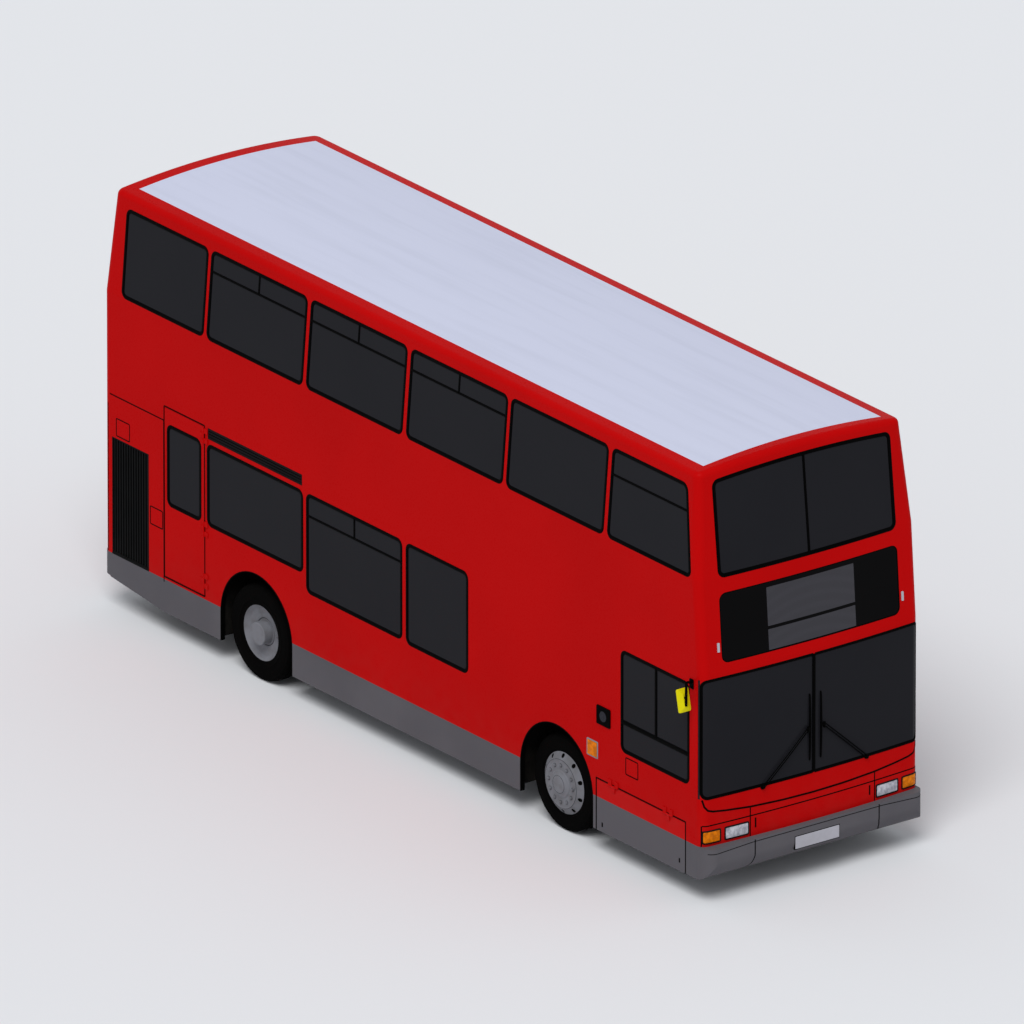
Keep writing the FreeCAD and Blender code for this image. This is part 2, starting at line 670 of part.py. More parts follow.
# Crossmembers: station, reach to offside, reach to nearside
CROSSMEMBERS = [
    (-4590, 1180, 1180),
    (-3790, INNER, INNER),
    (-3000, INNER, INNER),
    (-1650, INNER, INNER),
    (-700, INNER, INNER),
    (250, INNER, INNER),
    (1200, INNER, INNER),
    (1690, INNER, INNER),
    (3100, INNER - 10, INNER),
    (4450, INNER, INNER),
]
beams = []
for side in (OFFSIDE, NEARSIDE):
    y0, y1 = (RAIL_IN, RAIL_OUT) if side == NEARSIDE else (-RAIL_OUT, -RAIL_IN)
    beams.append(box(FRAME_REAR, FRAME_FRONT, y0, y1, RAIL_LOW, RAIL_SEAT))
for x, off, near in CROSSMEMBERS:
    beams.append(box(x, x + 80, -off, near, RAIL_SEAT, RAIL_TOP))
pads = []
for x in (-2960, 3140):
    for y in (RAIL_IN + S.rail_width / 2, -(RAIL_IN + S.rail_width / 2)):
        pads.append(cylinder("z", 45, RAIL_LOW - 8, 9, x=x, y=y))
ear = box(-4690, -4580, -60, 60, RAIL_SEAT, RAIL_TOP)
frame = cut(fuse(*beams, *pads, ear), cylinder("z", S.tow_bore, RAIL_SEAT - 20, 70, x=-4645))
node(frame, "chassis_frame")

ENGINE_LOW = 420
mounts = []
for x in (-4450, -4100):
    for y in (-360, 360):
        mounts.append(box(x, x + 120, y - 30, y + 30, RAIL_SEAT, ENGINE_LOW))
node(fuse(box(-4520, -3900, -500, 500, ENGINE_LOW, 1150), *mounts), "engine_block")

# ---------------------------------------------------------------- axles and steering

AXLE_Z = S.tyre_radius
KING = S.kingpin_radius
RUN = S.bearing_gap
EYE_HALF = 50
beam = [box(S.front_axle - 45, S.front_axle + 45, -770, 770, RAIL_LOW - 85, RAIL_LOW)]
bores = []
for side in (OFFSIDE, NEARSIDE):
    y0, y1 = sorted((side * 690, side * 770))
    beam.append(box(S.front_axle - 45, S.front_axle + 45, y0, y1, RAIL_LOW - 85, AXLE_Z + 40))
    y0, y1 = (700, S.kingpin_y) if side == NEARSIDE else (-S.kingpin_y, -700)
    beam.append(box(S.front_axle - 38, S.front_axle + 38, y0, y1, AXLE_Z - 40, AXLE_Z + 40))
    eye = {"x": S.front_axle, "y": side * S.kingpin_y}
    beam.append(cylinder("z", KING + 20, AXLE_Z - EYE_HALF, 2 * EYE_HALF, **eye))
    bores.append(cylinder("z", KING + RUN, AXLE_Z - EYE_HALF - 5, 2 * EYE_HALF + 10, **eye))
node(cut(fuse(*beam), *bores), "axle_front_beam")


def between(side, inner, outer):
    """Two distances from the centreline as a low and a high Y on one side."""
    return (inner, outer) if side == NEARSIDE else (-1 * outer, -1 * inner)


def drum(side, radius, inner, outer, x):
    """A cylinder on a wheel's axis between two distances from the centreline."""
    low, high = between(side, inner, outer)
    return cylinder("y", radius, low, high - low, x=x, z=AXLE_Z)


KNUCKLE_HALF = 108
FRONT_SPINDLE_END = 1150
REAR_SPINDLE_END = 1090
for side, name in ((NEARSIDE, "left"), (OFFSIDE, "right")):
    x = S.front_axle
    king = cylinder("z", KING, AXLE_Z - KNUCKLE_HALF, 2 * KNUCKLE_HALF, x=x, y=side * S.kingpin_y)
    y0, y1 = between(side, S.kingpin_y - 35, S.kingpin_y + 72)
    arms = [
        box(x - 40, x + 40, y0, y1, AXLE_Z + EYE_HALF + 6, AXLE_Z + KNUCKLE_HALF),
        box(x - 40, x + 40, y0, y1, AXLE_Z - KNUCKLE_HALF, AXLE_Z - EYE_HALF - 6),
    ]
    y0, y1 = between(side, S.kingpin_y + 52, S.kingpin_y + 72)
    plate = box(x - 60, x + 60, y0, y1, AXLE_Z - KNUCKLE_HALF, AXLE_Z + KNUCKLE_HALF)
    spindle = drum(side, S.spindle_radius, S.kingpin_y + 60, FRONT_SPINDLE_END, x)
    node(fuse(king, *arms, plate, spindle), f"knuckle_{name}")

tube = [
    drum(NEARSIDE, S.axle_tube, -640, 640, -S.rear_axle),
    cylinder("x", 190, -S.rear_axle - 130, 260, z=AXLE_Z),
    drum(NEARSIDE, S.spindle_radius, -REAR_SPINDLE_END, REAR_SPINDLE_END, -S.rear_axle),
]
for side in (OFFSIDE, NEARSIDE):
    y0, y1 = between(side, RAIL_IN, RAIL_OUT)
    tube.append(box(-S.rear_axle - 60, -S.rear_axle + 60, y0, y1, RAIL_SEAT, AXLE_Z))
node(fuse(*tube), "axle_rear_housing")

# ---------------------------------------------------------------- wheels

HALF_TYRE = float(S.tyre_width) / 2
BEAD = float(S.rim_radius) - 13
TYRE_SIDES = 40  # a tyre is a ring of flats
# Tyre section: radius to the flats, distance from its middle plane
TYRE_SECTION = [
    (BEAD, HALF_TYRE - 34),
    (BEAD + 13.5, HALF_TYRE - 34),
    (BEAD + 55, HALF_TYRE),
    (float(S.tyre_radius) - 51, HALF_TYRE - 3),
    (float(S.tyre_radius) - 12, HALF_TYRE - 20),
    (float(S.tyre_radius), HALF_TYRE - 38),
]
# Rim section: radius, distance from its middle plane
RIM_SECTION = [
    (float(S.rim_bore), HALF_TYRE - 34),
    (float(S.rim_bore) + 12, HALF_TYRE - 21.5),
    (float(S.rim_radius), HALF_TYRE - 21.5),
    (float(S.rim_radius), HALF_TYRE - 33.5),
    (BEAD - 0.3, HALF_TYRE - 33.5),
]


def turned(points, x, y):
    """A profile of radii and distances along Y, turned about a wheel's axis."""
    axle = float(AXLE_Z)
    wire = Part.makePolygon([Vector(x, y + t, axle + r) for r, t in points + points[:1]])
    return Part.Face(wire).revolve(Vector(x, y, axle), Vector(0, 1, 0), 360)


def mirrored(section):
    """A half section and its mirror image about the middle plane."""
    return section + [(r, -t) for r, t in reversed(section)]


def outward(section, side):
    """A section given for the nearside, turned to face either side."""
    return [(r, side * t) for r, t in section]


def tyre(x, y):
    """A tyre as a ring of flats, one of them flat on the ground."""
    section = mirrored(TYRE_SECTION)
    step = math.pi / TYRE_SIDES
    rings = []
    for n in range(TYRE_SIDES):
        turn = (2 * n + 1) * step
        across_x, down = math.sin(turn) / math.cos(step), math.cos(turn) / math.cos(step)
        rings.append([Vector(x + r * across_x, y + t, float(AXLE_Z) - r * down) for r, t in section])
    faces = []
    for n, ring in enumerate(rings):
        after = rings[(n + 1) % TYRE_SIDES]
        for k, point in enumerate(ring):
            corner = (k + 1) % len(ring)
            faces.append(Part.Face(Part.makePolygon([point, ring[corner], after[corner], after[k], point])))
    return Part.makeSolid(Part.makeShell(faces))


def ring_of_holes(x, y, side, count, pitch, radius):
    """Cutters spread on a circle about a wheel's axis, outward from y."""
    holes = []
    for n in range(count):
        turn = math.radians(360 * (n + 0.5) / count)
        at = Vector(x + pitch * math.cos(turn), y, float(AXLE_Z) + pitch * math.sin(turn))
        holes.append(Part.makeCylinder(radius, 2 * HALF_TYRE, at, Vector(0, side, 0)))
    return holes


SPINDLE = float(S.spindle_radius) + float(RUN)
HUB = float(S.hub_radius)
BORE = float(S.rim_bore)
HAND_HOLES = (10, BORE - 18, 14)  # count, pitch radius, hole radius
front_y = float(HALF) - float(S.front_tyre_inset) - HALF_TYRE
cap = float(S.hub_cap_front)
# Front disc and hub: radius, distance outward from the wheel's middle plane
FRONT_DISC = [
    (SPINDLE, -14), (HUB, -14), (HUB, cap - 47), (BORE - 36, cap - 47), (BORE - 27, cap - 51),
    (BORE + 2, cap - 131), (BORE + 2, cap - 107), (BORE - 15, cap - 40), (BORE - 21, cap - 34),
    (HUB + 10, cap - 34), (HUB, cap - 25), (HUB - 16, cap - 21), (HUB - 46, cap - 4), (HUB - 60, cap),
    (0, cap), (0, 100), (SPINDLE, 100),
]
outer_y = float(HALF) - float(S.rear_tyre_inset) - HALF_TYRE
inner_y = outer_y - float(S.tyre_width) - float(S.twin_gap)
cap = float(S.hub_cap_rear)
DISH = HALF_TYRE - 75.5  # floor of the rear disc
# Rear disc and hub: radius, distance outward from the outer wheel's middle plane
REAR_DISC = [
    (SPINDLE, -350), (HUB + 30, -350), (HUB + 30, -300), (HUB, -290), (HUB, DISH - 18), (180, DISH - 12),
    (BORE - 34, DISH + 2), (BORE + 2, DISH + 26), (BORE + 2, DISH + 42), (BORE - 30, DISH + 18),
    (180, DISH + 4), (HUB + 10, DISH), (HUB + 8, DISH - 6), (HUB + 1, DISH - 6), (HUB - 1, DISH),
    (HUB - 16, DISH), (HUB - 16, cap - 7), (HUB - 23, cap), (0, cap), (0, 6), (SPINDLE, 6),
]
# Band that joins the two rear rims
TWIN_BAND = [(BORE + 8, -80), (BORE + 8, -230), (BORE - 2, -230), (BORE - 2, -80)]
for side, name in ((NEARSIDE, "left"), (OFFSIDE, "right")):
    x, y = FRONT_WHEEL_X, side * front_y
    shaped(f"tyre_front_{name}", tyre(x, y))
    rim = turned(mirrored(RIM_SECTION), x, y).fuse(turned(outward(FRONT_DISC, side), x, y))
    rim = rim.cut(ring_of_holes(x, y + side * 50, side, *HAND_HOLES))
    shaped(f"rim_front_{name}", solids(rim.removeSplitter()))
    x, pair = REAR_WHEEL_X, [side * outer_y, side * inner_y]
    shaped(f"tyres_rear_{name}", Part.makeCompound([tyre(x, y) for y in pair]))
    rim = turned(outward(REAR_DISC, side), x, pair[0])
    rim = rim.fuse([turned(mirrored(RIM_SECTION), x, y) for y in pair])
    rim = rim.fuse(turned(outward(TWIN_BAND, side), x, pair[0]))
    shaped(f"rims_rear_{name}", solids(rim.removeSplitter()))

# ---------------------------------------------------------------- wheel boxes and floors

SHEET = S.liner_wall
BOX_TOP = S.arch_top + 2 * SHEET
# Wheel boxes: centre, half length, inner wall from the centreline, radius of the axle's hole
WHEEL_BOXES = [
    (S.front_axle, S.liner_gap_front, S.liner_inner_front, 0),
    (-S.rear_axle, S.liner_gap_rear, S.liner_inner_rear, S.axle_tube + 0.3),
]
boxes, box_voids = [], []
for x, half, inner, hole in WHEEL_BOXES:
    for side in (OFFSIDE, NEARSIDE):
        y0, y1 = between(side, inner, INNER)
        outer = box(x - half - SHEET, x + half + SHEET, y0, y1, RAIL_TOP - 60, BOX_TOP)
        y0, y1 = between(side, inner + SHEET, INNER + 50)
        hollow = box(x - half, x + half, y0, y1, 0, BOX_TOP - SHEET)
        tools = [hollow]
        if hole:
            tools.append(drum(side, hole, inner - 20, inner + 20, x))
        boxes.append(cut(outer, *tools))
        y0, y1 = between(side, inner, INNER + 50)
        box_voids.append(slab(x - half - SHEET, x + half + SHEET, y0, y1, 0, BOX_TOP))
node(compound(*boxes), "wheel_boxes")

ceiling = S.upper_floor_top - S.upper_floor_thick
lower_floor = slab(-S.platform_front, 4800, -INNER, INNER, RAIL_TOP, S.floor_top)
platform = slab(-S.bulkhead, -S.platform_front, -INNER, INNER, S.platform_top - 30, S.platform_top)
riser = slab(-S.platform_front - 30, -S.platform_front, -INNER, INNER, RAIL_TOP, S.platform_top)
bulkhead = slab(-S.bulkhead - 30, -S.bulkhead, -INNER, INNER, S.skirt_top + 12, ceiling)
lower_floor = lower_floor.fuse([platform, riser, bulkhead]).common(room).cut(box_voids)
shaped("floor_lower", solids(lower_floor.removeSplitter()))

upper_floor = across(ceiling, S.upper_floor_top).common(room)
sign_back = S.front_face - S.sign_depth - FIT
upper_floor = upper_floor.cut(slab(sign_back, FAR * 3, -S.sign_half, S.sign_half, S.sign_bottom, FAR * 2))
well = slab(S.stairwell_rear, S.stairwell_front, -INNER, -INNER + S.stair_width + 20, 0, FAR * 3)
shaped("floor_upper", solids(upper_floor.cut(well)))

TREADS = 8
RISE = (S.upper_floor_top - S.floor_top) / (TREADS + 1)
GOING = (S.stairwell_front - S.stair_foot) / TREADS
flight = []
for n in range(TREADS + 1):
    x0, top = S.stair_foot + GOING * n, S.floor_top + RISE * (n + 1)
    low = S.floor_top if n == 0 else top - RISE - 40
    y0, y1 = -INNER, -INNER + S.stair_width
    if n == TREADS:
        flight.append(box(x0 - 25, x0, y0, y1, low, top))
    else:
        flight.append(box(x0, x0 + 25, y0, y1, low, top))
        flight.append(box(x0, x0 + GOING, y0, y1, top - 40, top))
node(fuse(*flight), "staircase")

# ---------------------------------------------------------------- seats, poles and cab

# Double seats: rear of the back, side, floor
SEAT_ROWS = [(x, NEARSIDE, S.platform_top) for x in (-3700, -2950, -2200)]
SEAT_ROWS += [(-2950, OFFSIDE, S.platform_top), (-2200, OFFSIDE, S.platform_top)]
SEAT_ROWS += [(x, OFFSIDE, S.floor_top) for x in (-1500, -750, 0)]
SEAT_ROWS += [(x, NEARSIDE, S.floor_top) for x in (-1500, -750)]
SEAT_ROWS += [(x, OFFSIDE, S.upper_floor_top) for x in (-4300, -3550, -2800, -2050, -1300, -550, 200)]
SEAT_ROWS += [(x, OFFSIDE, S.upper_floor_top) for x in (3050, 3750)]
SEAT_ROWS += [(-4300 + 750 * n, NEARSIDE, S.upper_floor_top) for n in range(11)]
# Seat side view: forward of the back's rear, above the floor
SEAT_SIDE = [(0, 1080), (60, 1080), (130, 470), (500, 470), (500, 400), (60, 400)]


def seat(x, side, floor):
    """A double seat on its pedestal, facing forward."""
    low, high = between(side, 360, 1195)
    floor = float(floor)
    side_view = [Vector(x + a, low, floor + b) for a, b in SEAT_SIDE + SEAT_SIDE[:1]]
    bench = Part.Face(Part.makePolygon(side_view)).extrude(Vector(0, high - low, 0))
    low, high = between(side, 400, 520)
    return bench.fuse(slab(x + 240, x + 300, low, high, floor, floor + 420)).removeSplitter()


shaped("seats", Part.makeCompound([seat(*row).Solids[0] for row in SEAT_ROWS]))

# Grab poles: station, offset from the centreline
POLES = [(1330, 380), (-60, 380), (-60, -320), (930, -320), (1330, -560), (3140, 420), (-1560, 320)]
poles = [cylinder("z", 17, S.floor_top, ceiling - S.floor_top, x=x, y=y) for x, y in POLES]
rail_y = -INNER + S.stair_width + 40
for x in (1330, 2150, 2960):
    poles.append(cylinder("z", 17, S.upper_floor_top, 950, x=x, y=rail_y))
poles.append(cylinder("x", 17, 1330, 1630, y=rail_y, z=S.upper_floor_top + 950))
node(compound(*poles[:-4], fuse(*poles[-4:])), "grab_poles")

CAB_REAR, CAB_FRONT, CAB_SIDE, CAB_FLOOR = 3110, 4400, -380, 650
cab_low = S.floor_top
WHEEL_AT = (4060, -800, 1400)
COLUMN_LEAN = 30
cab = [
    slab(CAB_REAR, CAB_FRONT, -INNER, CAB_SIDE, CAB_FLOOR - 30, CAB_FLOOR),
    slab(CAB_REAR - 30, CAB_REAR, -INNER, CAB_SIDE, cab_low, ceiling),
    slab(CAB_REAR - 30, CAB_FRONT, CAB_SIDE - 30, CAB_SIDE, cab_low, 1350),
    slab(CAB_FRONT, 4800, -INNER, 560, cab_low, 1000),
    slab(3560, 3860, -960, -640, CAB_FLOOR, 950),
    slab(3480, 3960, -1050, -550, 950, 1060),
    slab(3420, 3500, -1050, -550, 950, 1720),
]
lean = math.radians(COLUMN_LEAN)
axis = Vector(-math.sin(lean), 0, math.cos(lean))
column = Part.makeCylinder(30, 700, Vector(*WHEEL_AT) - axis * 720, axis)
cab_shape = cab[0].fuse(cab[1:] + [column]).common(room)
shaped("driver_cab", solids(cab_shape.removeSplitter()))

wheel = Part.makeTorus(225, 14, Vector(), Vector(0, 0, 1))
for n in range(3):
    spoke = Part.makeBox(225, 30, 12, Vector(0, -15, -6))
    spoke.rotate(Vector(), Vector(0, 0, 1), 90 + 120 * n)
    wheel = wheel.fuse(spoke)
wheel = wheel.fuse(Part.makeCylinder(45, 34, Vector(0, 0, -20)))
wheel.Placement = Placement(Vector(*WHEEL_AT), Rotation(Vector(0, 1, 0), -COLUMN_LEAN))
shaped("steering_wheel", solids(wheel.removeSplitter()))

# ---------------------------------------------------------------- doors and flaps

# Passenger door leaves: name, rear edge, front edge
HALFWAY_FRONT = (S.entrance_rear + S.entrance_front) / 2
HALFWAY_EXIT = (S.exit_rear + S.exit_front) / 2
LEAVES = [
    ("entrance", "rear", S.entrance_rear + GAP, HALFWAY_FRONT - GAP / 2),
    ("entrance", "front", HALFWAY_FRONT + GAP / 2, S.entrance_front - GAP),
    ("exit", "rear", S.exit_rear + GAP, HALFWAY_EXIT - GAP / 2),
    ("exit", "front", HALFWAY_EXIT + GAP / 2, S.exit_front - GAP),
]
LEAF_OUT = HALF - 4
LEAF_IN = LEAF_OUT - S.door_thick
for door, leaf, x0, x1 in LEAVES:
    z0, z1 = S.door_sill + GAP, S.door_head - GAP
    rail = S.door_rail
    hole = side_prism(x0 + rail, x1 - rail, z0 + 2 * rail, z1 - rail, NEARSIDE, 40)
    frame = slab(x0, x1, LEAF_IN, LEAF_OUT, z0, z1).cut(hole)
    jamb = x0 - GAP if leaf == "rear" else x1 + GAP
    radius, shaft_y = float(S.shaft_radius), INNER - S.shaft_inset
    foot, head = float(S.floor_top + S.seat_gap), float(ceiling - S.seat_gap)
    shaft = Part.makeCylinder(radius, head - foot, Vector(float(jamb), float(shaft_y), foot))
    reach = sorted((float(jamb), float(jamb) + (55 if leaf == "rear" else -55)))
    arms = [slab(*reach, shaft_y - 10, LEAF_IN + 1, z, z + 50) for z in (z0 + 30, 1250, z1 - 80)]
    shaped(f"{door}_leaf_{leaf}", solids(frame.fuse([shaft] + arms).removeSplitter()))
    low, high = float(LEAF_IN + 16), float(LEAF_IN + 24)
    pane = side_prism(*fitted(x0 + rail, x1 - rail, z0 + 2 * rail, z1 - rail), NEARSIDE, 40 - FIT)
    shaped(f"{door}_glass_{leaf}", solids(pane.common(slab(-FAR * 3, FAR * 3, low, high, 0, FAR * 2))))

ESCAPE_WINDOW = (-3730, -3187, 1343, 2174)
x0, x1 = -S.escape_rear + GAP, -S.escape_front - GAP
door = slab(x0, x1, -HALF, -HALF + 35, S.escape_sill + GAP, S.escape_head - GAP)
door = door.cut(side_prism(*ESCAPE_WINDOW, OFFSIDE))
shaped("emergency_door", hinged(door, ESCAPE_HINGES, False))
pane = side_prism(*fitted(*ESCAPE_WINDOW), OFFSIDE, PANE_ROUND)
shaped("emergency_glass", solids(pane.common(slab(-FAR * 3, FAR * 3, -HALF + 4, -HALF + 12, 0, FAR * 2))))

x0, x1 = S.flap_rear + GAP, S.flap_front - GAP
flap = slab(x0, x1, -HALF, -HALF + 30, S.skirt_bottom, S.flap_top - GAP)
shaped("side_flap", hinged(flap, FLAP_HINGES, False))

# ---------------------------------------------------------------- grilles, mirrors, wipers


def grille(x0, x1, z0, z1, slats, upright):
    """A framed grille flush with the offside, its slats upright or level."""
    y0, y1 = float(-HALF) + 2, float(-HALF) + 32
    edge = 14
    whole = slab(x0 + FIT, x1 - FIT, y0, y1, z0 + FIT, z1 - FIT)
    ring = whole.cut(slab(x0 + edge, x1 - edge, y0 - 10, y1 + 10, z0 + edge, z1 - edge))
    bars = []
    length = (x1 - x0) if upright else (z1 - z0)
    pitch = (length - 2 * edge) / slats
    for n in range(slats):
        at = edge + pitch * (n + 0.5)
        low, high = at - pitch / 4, at + pitch / 4
        if upright:
            bars.append(slab(x0 + low, x0 + high, y0 + 6, y1, z0 + edge / 2, z1 - edge / 2))
        else:
            bars.append(slab(x0 + edge / 2, x1 - edge / 2, y0 + 6, y1, z0 + low, z0 + high))
    return ring.fuse(bars).removeSplitter().Solids[0]


shaped("grilles", Part.makeCompound([grille(*RADIATOR, 14, True), grille(*LOUVRE, 4, False)]))

# Mirrors: side, station and height of the arm's corner on the body. The nearside one is over the
# entrance.
MIRRORS = [(OFFSIDE, 4505, 2184), (NEARSIDE, 4255, 2529)]
# A mirror's plate and arm: blocks as x0, x1, distance out from the skin from and to, z0, z1
MIRROR_BLOCKS = [
    (-25, 40, 0, 15, -50, 50),
    (0, 25, 10, 105, 0, 25),
    (25, 47, 83, 105, -234, 25),
    (0, 47, 83, 105, 0, 25),
]
HEAD_IN, HEAD_OUT, HEAD_LOW, HEAD_TOP = 35, 187, -269, -29  # out from the skin, heights
heads = []
for side, x, z in MIRRORS:
    rows = []
    for x0, x1, y0, y1, z0, z1 in MIRROR_BLOCKS:
        rows.append(slab(x + x0, x + x1, *between(side, HALF + y0, HALF + y1), z + z0, z + z1))
    y0, y1 = between(side, HALF + HEAD_IN, HALF + HEAD_OUT)
    z0, z1 = z + HEAD_LOW, z + HEAD_TOP
    back = rounded(y0, y1, z0, z1, 15, lambda a, b: Vector(x - 15, a, b))
    face = rounded(y0 + 25, y1 - 25, z0 + 30, z1 - 30, 10, lambda a, b: Vector(x + 30, a, b))
    head = Part.makeLoft([back, face], True, True)
    heads.append(rows[0].fuse(rows[1:] + [head]).removeSplitter().Solids[0])
shaped("mirrors", Part.makeCompound(heads))

# Wipers: pivot y and z, elbow y and z, blade y, blade low and high
WIPERS = [(-590, 1040, -75, 1510, -50, 1190, 1840), (630, 1050, 113, 1515, 80, 1190, 1840)]
near_skin = body(-26).cut(body(-6))
wipers = []
for py, pz, ey, ez, by, z0, z1 in WIPERS:
    run = math.hypot(ey - py, ez - pz)
    arm = Part.makeBox(FAR, 16, run, Vector(4000, -8, 0))
    arm.rotate(Vector(), Vector(1, 0, 0), -math.degrees(math.atan2(ey - py, ez - pz)))
    arm.translate(Vector(0, py, pz))
    blade = slab(4000, 6000, by - 10, by + 10, z0, z1)
    link = slab(4000, 6000, *sorted((ey, by)), ez - 10, ez + 10)
    foot = Part.makeCylinder(22, FAR, Vector(4000, py, pz), Vector(1, 0, 0))
    foot = foot.common(body(-20).cut(skin))
    wipers.append(near_skin.common(arm.fuse([blade, link])).fuse(foot).removeSplitter().Solids[0])
shaped("wipers", Part.makeCompound(wipers))

# ---------------------------------------------------------------- checks and export

doc.recompute()
os.makedirs("parts", exist_ok=True)
for thing in doc.Objects:
    if "Invalid" in thing.State or "Error" in thing.State:
        raise RuntimeError(f"{thing.Name} didn't recompute: {thing.State}")
labels = [thing.Label for thing in nodes]
if len(set(labels)) != len(labels):
    raise RuntimeError("two sub-parts share a label")
for thing in nodes:
    if thing.Shape.isNull() or not thing.Shape.isValid() or not thing.Shape.Solids:
        raise RuntimeError(f"{thing.Label} has no valid shape")
    thing.Shape.exportStep(f"parts/{thing.Label}.step")
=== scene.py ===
import json
import math
from collections import namedtuple
import bmesh
import bpy
from mathutils import Matrix, Vector
from mathutils.bvhtree import BVHTree


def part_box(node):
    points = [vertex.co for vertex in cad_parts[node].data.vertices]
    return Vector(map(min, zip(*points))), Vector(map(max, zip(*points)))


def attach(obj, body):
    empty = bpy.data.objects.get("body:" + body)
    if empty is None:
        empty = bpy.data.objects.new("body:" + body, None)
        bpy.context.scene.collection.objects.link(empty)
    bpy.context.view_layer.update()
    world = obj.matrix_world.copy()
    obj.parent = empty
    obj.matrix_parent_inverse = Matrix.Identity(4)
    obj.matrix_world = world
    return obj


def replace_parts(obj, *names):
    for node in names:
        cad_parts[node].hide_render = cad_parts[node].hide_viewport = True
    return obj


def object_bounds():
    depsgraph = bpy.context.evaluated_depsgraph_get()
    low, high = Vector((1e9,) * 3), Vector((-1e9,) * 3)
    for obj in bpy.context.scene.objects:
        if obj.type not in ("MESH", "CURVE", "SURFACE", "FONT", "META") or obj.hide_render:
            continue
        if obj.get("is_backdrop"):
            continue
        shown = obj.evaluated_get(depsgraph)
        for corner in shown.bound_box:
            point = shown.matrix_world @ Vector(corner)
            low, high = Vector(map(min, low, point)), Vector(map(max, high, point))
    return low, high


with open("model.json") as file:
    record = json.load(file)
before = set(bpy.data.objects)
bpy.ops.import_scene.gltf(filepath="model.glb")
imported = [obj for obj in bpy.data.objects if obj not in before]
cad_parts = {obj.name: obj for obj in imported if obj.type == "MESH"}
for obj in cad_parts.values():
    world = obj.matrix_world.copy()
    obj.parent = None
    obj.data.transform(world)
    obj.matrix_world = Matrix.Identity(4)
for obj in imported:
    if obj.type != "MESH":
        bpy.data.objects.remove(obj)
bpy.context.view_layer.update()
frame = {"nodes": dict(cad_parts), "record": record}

nodes = frame["nodes"]

# ---------------------------------------------------------------- studio
# A plain pale floor under soft light. The camera stands some 430 m off with a very long lens and
# looks down 22 degrees from ahead of the offside, so the bus's long edges stay all but parallel.

SIGHT = Vector((4.0, -3.0, 2.0)).normalized()
AIM = Vector((0.005, 0.007, 2.159))
FRAME_WIDTH, LENS, SENSOR = 9.648, 1600.0, 36.0
FLOOR_REACH = 300.0
SUN_FROM = Vector((0.42, -0.50, 0.95))
SUN_POWER, SUN_SPREAD = 1.75, math.radians(32)

camera_data = bpy.data.cameras.new("studio_camera")
camera_data.lens, camera_data.sensor_width = LENS, SENSOR
stand_off = FRAME_WIDTH * LENS / SENSOR
camera_data.clip_start, camera_data.clip_end = 10.0, 4 * stand_off
camera = bpy.data.objects.new("studio_camera", camera_data)
camera.location = AIM + SIGHT * stand_off
camera.rotation_euler = (-SIGHT).to_track_quat("-Z", "Y").to_euler()
bpy.context.scene.collection.objects.link(camera)
bpy.context.scene.camera = camera
bpy.context.scene.view_settings.view_transform = "Standard"


class Wire:
    """One output of a node; sums and products written with it add Math nodes to its recipe."""

    def __init__(self, recipe, socket):
        self.recipe, self.socket = recipe, socket

    def math(self, operation, *terms):
        return self.recipe.node("ShaderNodeMath", {"operation": operation}, dict(enumerate(terms)))

    def __add__(self, other):
        return self.math("ADD", self, other)

    def __sub__(self, other):
        return self.math("SUBTRACT", self, other)

    def __rsub__(self, other):
        return self.math("SUBTRACT", other, self)

    def __mul__(self, other):
        return self.math("MULTIPLY", self, other)

    def __truediv__(self, other):
        return self.math("DIVIDE", self, other)

    __radd__, __rmul__ = __add__, __mul__


class Recipe:
    """The nodes of one finish, or of the sky, while they are put together."""

    def __init__(self, owner):
        owner.use_nodes = True
        self.owner, self.tree = owner, owner.node_tree
        self.tree.nodes.clear()

    def node(self, kind, settings=None, sockets=None, out=0):
        """Adds a node, gives it its settings and then its sockets, and returns one output."""
        made = self.tree.nodes.new(kind)
        for name, value in (settings or {}).items():
            if name == "stops":
                for element, (place, colour) in zip(made.color_ramp.elements, value):
                    element.position, element.color = place, colour
            else:
                setattr(made, name, value)
        for name, value in (sockets or {}).items():
            if isinstance(value, Wire):
                self.tree.links.new(value.socket, made.inputs[name])
            else:
                made.inputs[name].default_value = value
        return Wire(self, made.outputs[out] if made.outputs else None)

    def noise(self, place, scale, detail=2.0):
        return self.node("ShaderNodeTexNoise", None, {"Vector": place, "Scale": scale, "Detail": detail})

    def ease(self, value, low, high):
        """0 below low, 1 above high, and smooth between."""
        sockets = {"Value": value, "From Min": low, "From Max": high}
        return self.node("ShaderNodeMapRange", {"interpolation_type": "SMOOTHSTEP"}, sockets)

    def mixed(self, share, first, second):
        return self.node("ShaderNodeMix", {"data_type": "RGBA"}, {0: share, 6: first, 7: second}, 2)

    def axis(self, place, which):
        """One coordinate of a place: 0 along the bus, 1 across it and 2 upwards."""
        return self.node("ShaderNodeSeparateXYZ", None, {"Vector": place}, which)

    def either_ray(self):
        """1 for what the camera sees directly, in a reflection or through glass."""
        rays = self.node("ShaderNodeLightPath")
        outputs = rays.socket.node.outputs
        seen = [Wire(self, outputs[n]) for n in ("Is Camera Ray", "Is Glossy Ray", "Is Transmission Ray")]
        return seen[0].math("MAXIMUM", seen[0], seen[1].math("MAXIMUM", seen[1], seen[2]))


SURROUND = (0.80, 0.81, 0.83, 1.0)
SKY_FILL = (0.50, 0.51, 0.53, 1.0)
bpy.context.scene.world = bpy.data.worlds.new("studio_air")
air = Recipe(bpy.context.scene.world)
glow = air.node("ShaderNodeBackground", None, {"Color": SURROUND, "Strength": 1.0})
fill = air.node("ShaderNodeBackground", None, {"Color": SKY_FILL, "Strength": 1.0})
air_mix = air.node("ShaderNodeMixShader", None, {0: air.either_ray(), 1: fill, 2: glow})
air.node("ShaderNodeOutputWorld", None, {"Surface": air_mix})

